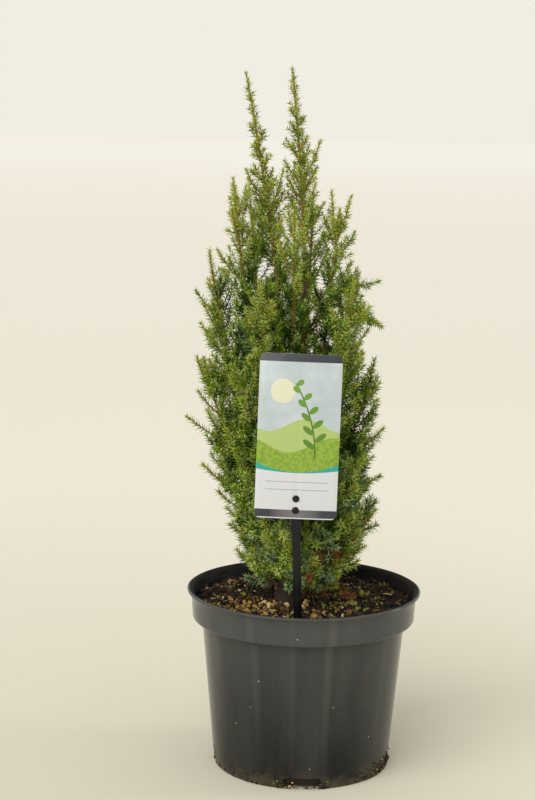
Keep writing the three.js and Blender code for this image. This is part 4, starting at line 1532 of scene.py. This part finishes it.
class JUNIPER_OT_foliage(Piece, bpy.types.Operator):
    """Grows each mass of foliage: its stem, twigs and side shoots, and their whorls of needles"""

    bl_idname = "juniper.foliage"
    bl_label = "Foliage"

    def execute(self, context):
        settings = context.scene.juniper_plant
        greens = plain_tones(settings, NEEDLE_SLOTS, 0.55, 160, 0.12)
        woods = plain_tones(settings, WOOD_SLOTS, 0.72, 500)
        plant = Plant()
        rings = {}
        for k, mass in enumerate(plant.masses):
            rings.setdefault(mass.ring, []).append(k)
        for order, (ring, members) in enumerate(rings.items()):
            dice = np.random.default_rng(400 + order)
            spacing = settings.shoot_spacing / MM * OPENER.get(ring, 1)
            grown = [grow_mass(plant, k, spacing) for k in members]
            nodes = [plant.masses[k].name + "_foliage" for k in members]
            curves = np.array([points for shoots in grown for points in shoots.curves])
            reaches, levels, bares = (
                np.array([value for shoots in grown for value in getattr(shoots, kind)])
                for kind in ("reaches", "levels", "bares")
            )
            tones = deal_tones(curves, levels, dice)
            self.add_wood(ring, curves, levels, tones, woods)
            self.add_needles(ring, nodes, curves, reaches, bares, tones, settings, greens, dice)
        self.drop_sprigs(settings, greens)
        return {"FINISHED"}

    def drop_sprigs(self, settings, greens):
        """A few dry sprigs that lie on the compost behind the trunk's foot."""
        dice = np.random.default_rng(61)
        count = 9
        x, y = 14 + dice.normal(0, 13, count), 14 + dice.normal(0, 12, count)
        angle = dice.uniform(0, 2 * math.pi, count)
        reaches = dice.uniform(9, 19, count)
        rise = dice.uniform(0.05, 0.3, count)
        along = np.stack((np.cos(angle), np.sin(angle), rise), axis=1) * reaches[:, None]
        start = np.stack((x, y, SOIL_TOP + soil_relief(x, y) + 3.4), axis=1)
        bend = dice.normal(0, 0.6, (count, 3))
        curves = np.stack((start, start + along * 0.5 + bend, start + along), axis=1)
        tones = np.full(count, TONE["dead"])
        places, corners, slots = needle_arrays(curves, reaches, np.full(count, 0.1), tones, settings, dice)
        dress(mesh_piece("dropped_sprigs", places, corners, slots, greens), [])

    def add_wood(self, ring, curves, levels, tones, woods):
        places, corners, slots, offset = [], [], [], 0
        for level, (root, tip, sides, steps) in enumerate(WOOD):
            chosen = levels == level
            radii = np.full(int(chosen.sum()), root), np.full(int(chosen.sum()), tip)
            tube, faces, each = tube_arrays(curves[chosen], *radii, sides, steps)
            places.append(tube)
            corners.append(faces + offset)
            offset += len(tube)
            wood = np.where(tones[chosen] >= TONE["deep"], 0, max(level, 1))
            slots.append(np.repeat(wood, each))
        arrays = [np.concatenate(part) for part in (places, corners, slots)]
        joined = mesh_piece(f"shoots_{ring}", *arrays, woods)
        smooth(joined, 60)
        dress(joined, [])

    def add_needles(self, ring, nodes, curves, reaches, bares, tones, settings, greens, dice):
        places, corners, slots = needle_arrays(curves, reaches, bares, tones, settings, dice)
        needles = len(places) // 4
        pieces = math.ceil(needles / MOST_NEEDLES)
        bounds = np.linspace(0, needles, pieces + 1).astype(int)
        for n, (start, end) in enumerate(zip(bounds, bounds[1:])):
            name = f"needles_{ring}" + (f"_{n + 1}" if pieces > 1 else "")
            own = slice(start * 4, end * 4)  # a needle has four points and four faces
            some = mesh_piece(name, places[own], corners[own] - start * 4, slots[own], greens)
            dress(some, nodes)


# The label


def card_matrix():
    """Takes the upright card, which faces -Y with its foot at zero, to its place."""
    along = Vector((math.sin(CARD_ROLL), CARD_LEAN, math.cos(CARD_ROLL))).normalized()
    across = Vector((math.cos(CARD_ROLL), 0, -math.sin(CARD_ROLL)))
    return frame_matrix(across, along, Vector(CARD_FOOT) * MM)


def pick_corners(piece, upper):
    """Selects the card's upper or lower corner points."""
    bpy.ops.mesh.select_mode(type="VERT")
    bpy.ops.mesh.select_all(action="DESELECT")
    mesh = bmesh.from_edit_mesh(piece.data)
    middle = sum(v.co.z for v in mesh.verts) / len(mesh.verts)
    for vertex in mesh.verts:
        vertex.select = (vertex.co.z > middle) == upper
    mesh.select_flush(True)
    bmesh.update_edit_mesh(piece.data)


def post(name, radius, front, back, height, dome=0.0):
    """A round post through the card, along Y, with domed heads."""
    start_fresh()
    middle = (0, (front + back) / 2, height)
    bpy.ops.mesh.primitive_cylinder_add(
        vertices=28, radius=radius, depth=back - front, location=middle, rotation=(math.pi / 2, 0, 0)
    )
    piece = bpy.context.object
    piece.name = name
    settle(piece)
    if dome:
        soften_edges(piece, dome, angle=40, segments=4)
    return piece


class JUNIPER_OT_label(Piece, bpy.types.Operator):
    """Cuts the plain plant label with its generic print, and stands it on its stick"""

    bl_idname = "juniper.label"
    bl_label = "Label"

    def execute(self, context):
        label = context.scene.juniper_label
        self.make_card(label)
        self.make_stick(label)
        return {"FINISHED"}

    def make_card(self, label):
        start_fresh()
        middle = (0, 0, label.height / 2)
        bpy.ops.mesh.primitive_plane_add(size=1, location=middle, rotation=(math.pi / 2, 0, 0))
        card = bpy.context.object
        card.name = "label_sheet"
        card.scale = (label.width, label.height, 1)
        settle(card)
        bpy.ops.object.mode_set(mode="EDIT")
        pick_corners(card, upper=True)
        bpy.ops.mesh.bevel(offset=label.corner, segments=2, affect="VERTICES", profile=0.4)
        pick_corners(card, upper=False)
        bpy.ops.mesh.bevel(offset=label.corner, segments=6, affect="VERTICES", profile=0.5)
        for k in range(1, 14):
            bpy.ops.mesh.select_all(action="SELECT")
            place = (label.width * (k / 14 - 0.5), 0, 0)
            bpy.ops.mesh.bisect(plane_co=place, plane_no=(1, 0, 0), use_fill=False)
        bpy.ops.mesh.select_all(action="SELECT")
        bpy.ops.mesh.extrude_region_move(TRANSFORM_OT_translate={"value": (0, label.thickness, 0)})
        bpy.ops.mesh.select_all(action="SELECT")
        bpy.ops.mesh.normals_make_consistent(inside=False)
        bpy.ops.object.mode_set(mode="OBJECT")
        radius = label.stud_radius + GAP * MM
        cut_away(card, [post("hole", radius, -2 * MM, 3 * MM, height * MM) for height in STUD_HEIGHTS])
        soften_edges(card, 0.12 * MM, angle=50)
        self.print_card(card, label)
        bow = card.modifiers.new("bow", "SIMPLE_DEFORM")
        bow.deform_method, bow.deform_axis, bow.angle = "BEND", "Z", math.radians(CARD_BOW)
        apply_all(card)
        smooth(card, 35)
        move_to(card, card_matrix())
        dress(card, ["label_card"])

    def print_card(self, card, label):
        """Lays the print's map on the card and keeps the back and the edges plain."""
        card.data.materials.append(printed_card(label))
        card.data.materials.append(card_back(label))
        layer = card.data.uv_layers.new(name="print")
        for face in card.data.polygons:
            face.material_index = 0 if face.normal.y < -0.8 else 1
            for loop in face.loop_indices:
                place = card.data.vertices[card.data.loops[loop].vertex_index].co
                layer.data[loop].uv = (place.x / label.width + 0.5, place.z / label.height)

    def make_stick(self, label):
        foot, top = Vector(STICK_FOOT) * MM, Vector(STICK_TOP) * MM
        rise, below = (top - foot).length, 42 * MM
        width, thick = label.stick_width, label.stick_thickness
        bar = box_at("bar", (width, thick, rise + below), (0, 0, (rise - below) / 2), 0.5 * MM)
        clip = box_at("clip", (width * 1.25, thick * 1.5, 12 * MM), (0, -0.3 * MM, rise - 27 * MM), 0.6 * MM)
        rib_size = (width * 0.3, thick * 0.5, rise - 34 * MM)
        rib = box_at("rib", rib_size, (0, -thick * 0.5, rise / 2 - 16 * MM), 0.3 * MM)
        along = (top - foot).normalized()
        across = Vector((0, 1, 0)).cross(along).normalized()
        for piece in (bar, clip, rib):
            move_to(piece, frame_matrix(across, along, foot))
        middle = (0, -4 * MM + label.thickness + GAP * MM, 12 * MM)
        room = box_at("room", (width * 4, 8 * MM, 60 * MM), middle)
        move_to(room, card_matrix())
        cut_away(bar, [room])
        studs = [post("stud", label.stud_radius, -1.6 * MM, 2.4 * MM, h * MM, 0.7 * MM) for h in STUD_HEIGHTS]
        for stud in studs:
            move_to(stud, card_matrix())
        stick = join([bar, clip, rib, *studs], "label_stick_bar")
        smooth(stick, 35)
        dress(stick, ["label_stick"], [stick_plastic(label)])


# The studio


class JUNIPER_OT_studio(Piece, bpy.types.Operator):
    """Lays the pale floor, hangs the soft lights and sets the camera where the photo was taken"""

    bl_idname = "juniper.studio"
    bl_label = "Studio"

    def execute(self, context):
        studio = context.scene.juniper_studio
        self.lay_floor(studio)
        self.fill_air(context, studio)
        self.hang("key", "SUN", (-0.65, -1.0, 1.0), studio.sun, (1, 0.975, 0.93))
        self.hang("side", "AREA", (1.49, 0.18, 0.45), studio.side, (1, 0.99, 0.95), (0.3, 1.1))
        self.set_camera(context)
        context.scene.view_settings.view_transform = "Standard"
        return {"FINISHED"}

    def lay_floor(self, studio):
        start_fresh()
        bpy.ops.mesh.primitive_circle_add(vertices=96, radius=60, fill_type="NGON")
        floor = bpy.context.object
        floor.name = "floor"
        bpy.ops.object.mode_set(mode="EDIT")
        bpy.ops.mesh.inset(thickness=57)
        bpy.ops.object.mode_set(mode="OBJECT")
        floor.data.materials.append(studio_floor(studio))

    def fill_air(self, context, studio):
        """Pale air that the camera sees a little brighter than the light that it gives."""
        world = bpy.data.worlds.new("studio_air")
        world.use_nodes = True
        tree = world.node_tree
        air = tree.nodes["Background"]
        air.inputs["Color"].default_value = (*studio.air, 1)
        seen = Wire(tree, tree.nodes.new("ShaderNodeLightPath").outputs["Is Camera Ray"])
        tree.links.new((seen * (1 - studio.air_light) + studio.air_light).socket, air.inputs["Strength"])
        context.scene.world = world

    def hang(self, name, kind, place, power, colour, size=None):
        """A soft light that faces the middle of the plant."""
        lamp = bpy.data.lights.new(name, kind)
        lamp.energy, lamp.color = power, colour
        if size:
            lamp.shape, lamp.size, lamp.size_y = "RECTANGLE", *size
        else:
            lamp.angle = math.radians(60)
        light = bpy.data.objects.new(name, lamp)
        light.location = place
        light.rotation_euler = (Vector(LIT_PLACE) - Vector(place)).to_track_quat("-Z", "Y").to_euler()
        bpy.context.scene.collection.objects.link(light)

    def set_camera(self, context):
        pitch, roll = math.radians(CAMERA["pitch"]), math.radians(CAMERA["roll"])
        back = Vector((0, -math.cos(pitch), math.sin(pitch)))
        right, up = Vector((1, 0, 0)), Vector((0, math.sin(pitch), math.cos(pitch)))
        across = right * math.cos(roll) + up * math.sin(roll)
        lens = bpy.data.cameras.new("camera")
        lens.sensor_width = 36
        lens.lens = CAMERA["focal_px"] / CAMERA["long_side_px"] * lens.sensor_width
        camera = bpy.data.objects.new("camera", lens)
        camera.matrix_world = frame_matrix(across, back, Vector(CAMERA["place"]))
        context.scene.collection.objects.link(camera)
        context.scene.camera = camera


# The add-on


class JUNIPER_PT_panel(bpy.types.Panel):
    """Lists the pieces in the order in which they are made"""

    bl_idname = "JUNIPER_PT_panel"
    bl_label = "Potted juniper"
    bl_space_type = "VIEW_3D"
    bl_region_type = "UI"
    bl_category = "Juniper"

    def draw(self, context):
        for piece in PIECES:
            self.layout.operator(piece.bl_idname)


GROUPS = {
    "juniper_pot": PotSettings,
    "juniper_compost": CompostSettings,
    "juniper_plant": PlantSettings,
    "juniper_label": LabelSettings,
    "juniper_studio": StudioSettings,
}
PIECES = (
    JUNIPER_OT_studio,
    JUNIPER_OT_pot,
    JUNIPER_OT_compost,
    JUNIPER_OT_label,
    JUNIPER_OT_limbs,
    JUNIPER_OT_foliage,
)


def register():
    for group in (*GROUPS.values(), *PIECES, JUNIPER_PT_panel):
        bpy.utils.register_class(group)
    for name, group in GROUPS.items():
        setattr(bpy.types.Scene, name, PointerProperty(type=group))


def unregister():
    for name in GROUPS:
        delattr(bpy.types.Scene, name)
    for group in reversed((*GROUPS.values(), *PIECES, JUNIPER_PT_panel)):
        bpy.utils.unregister_class(group)


def main():
    register()
    bpy.ops.juniper.studio()
    bpy.ops.juniper.pot()
    bpy.ops.juniper.compost()
    bpy.ops.juniper.label()
    bpy.ops.juniper.limbs()
    bpy.ops.juniper.foliage()


if __name__ == "__main__":
    main()
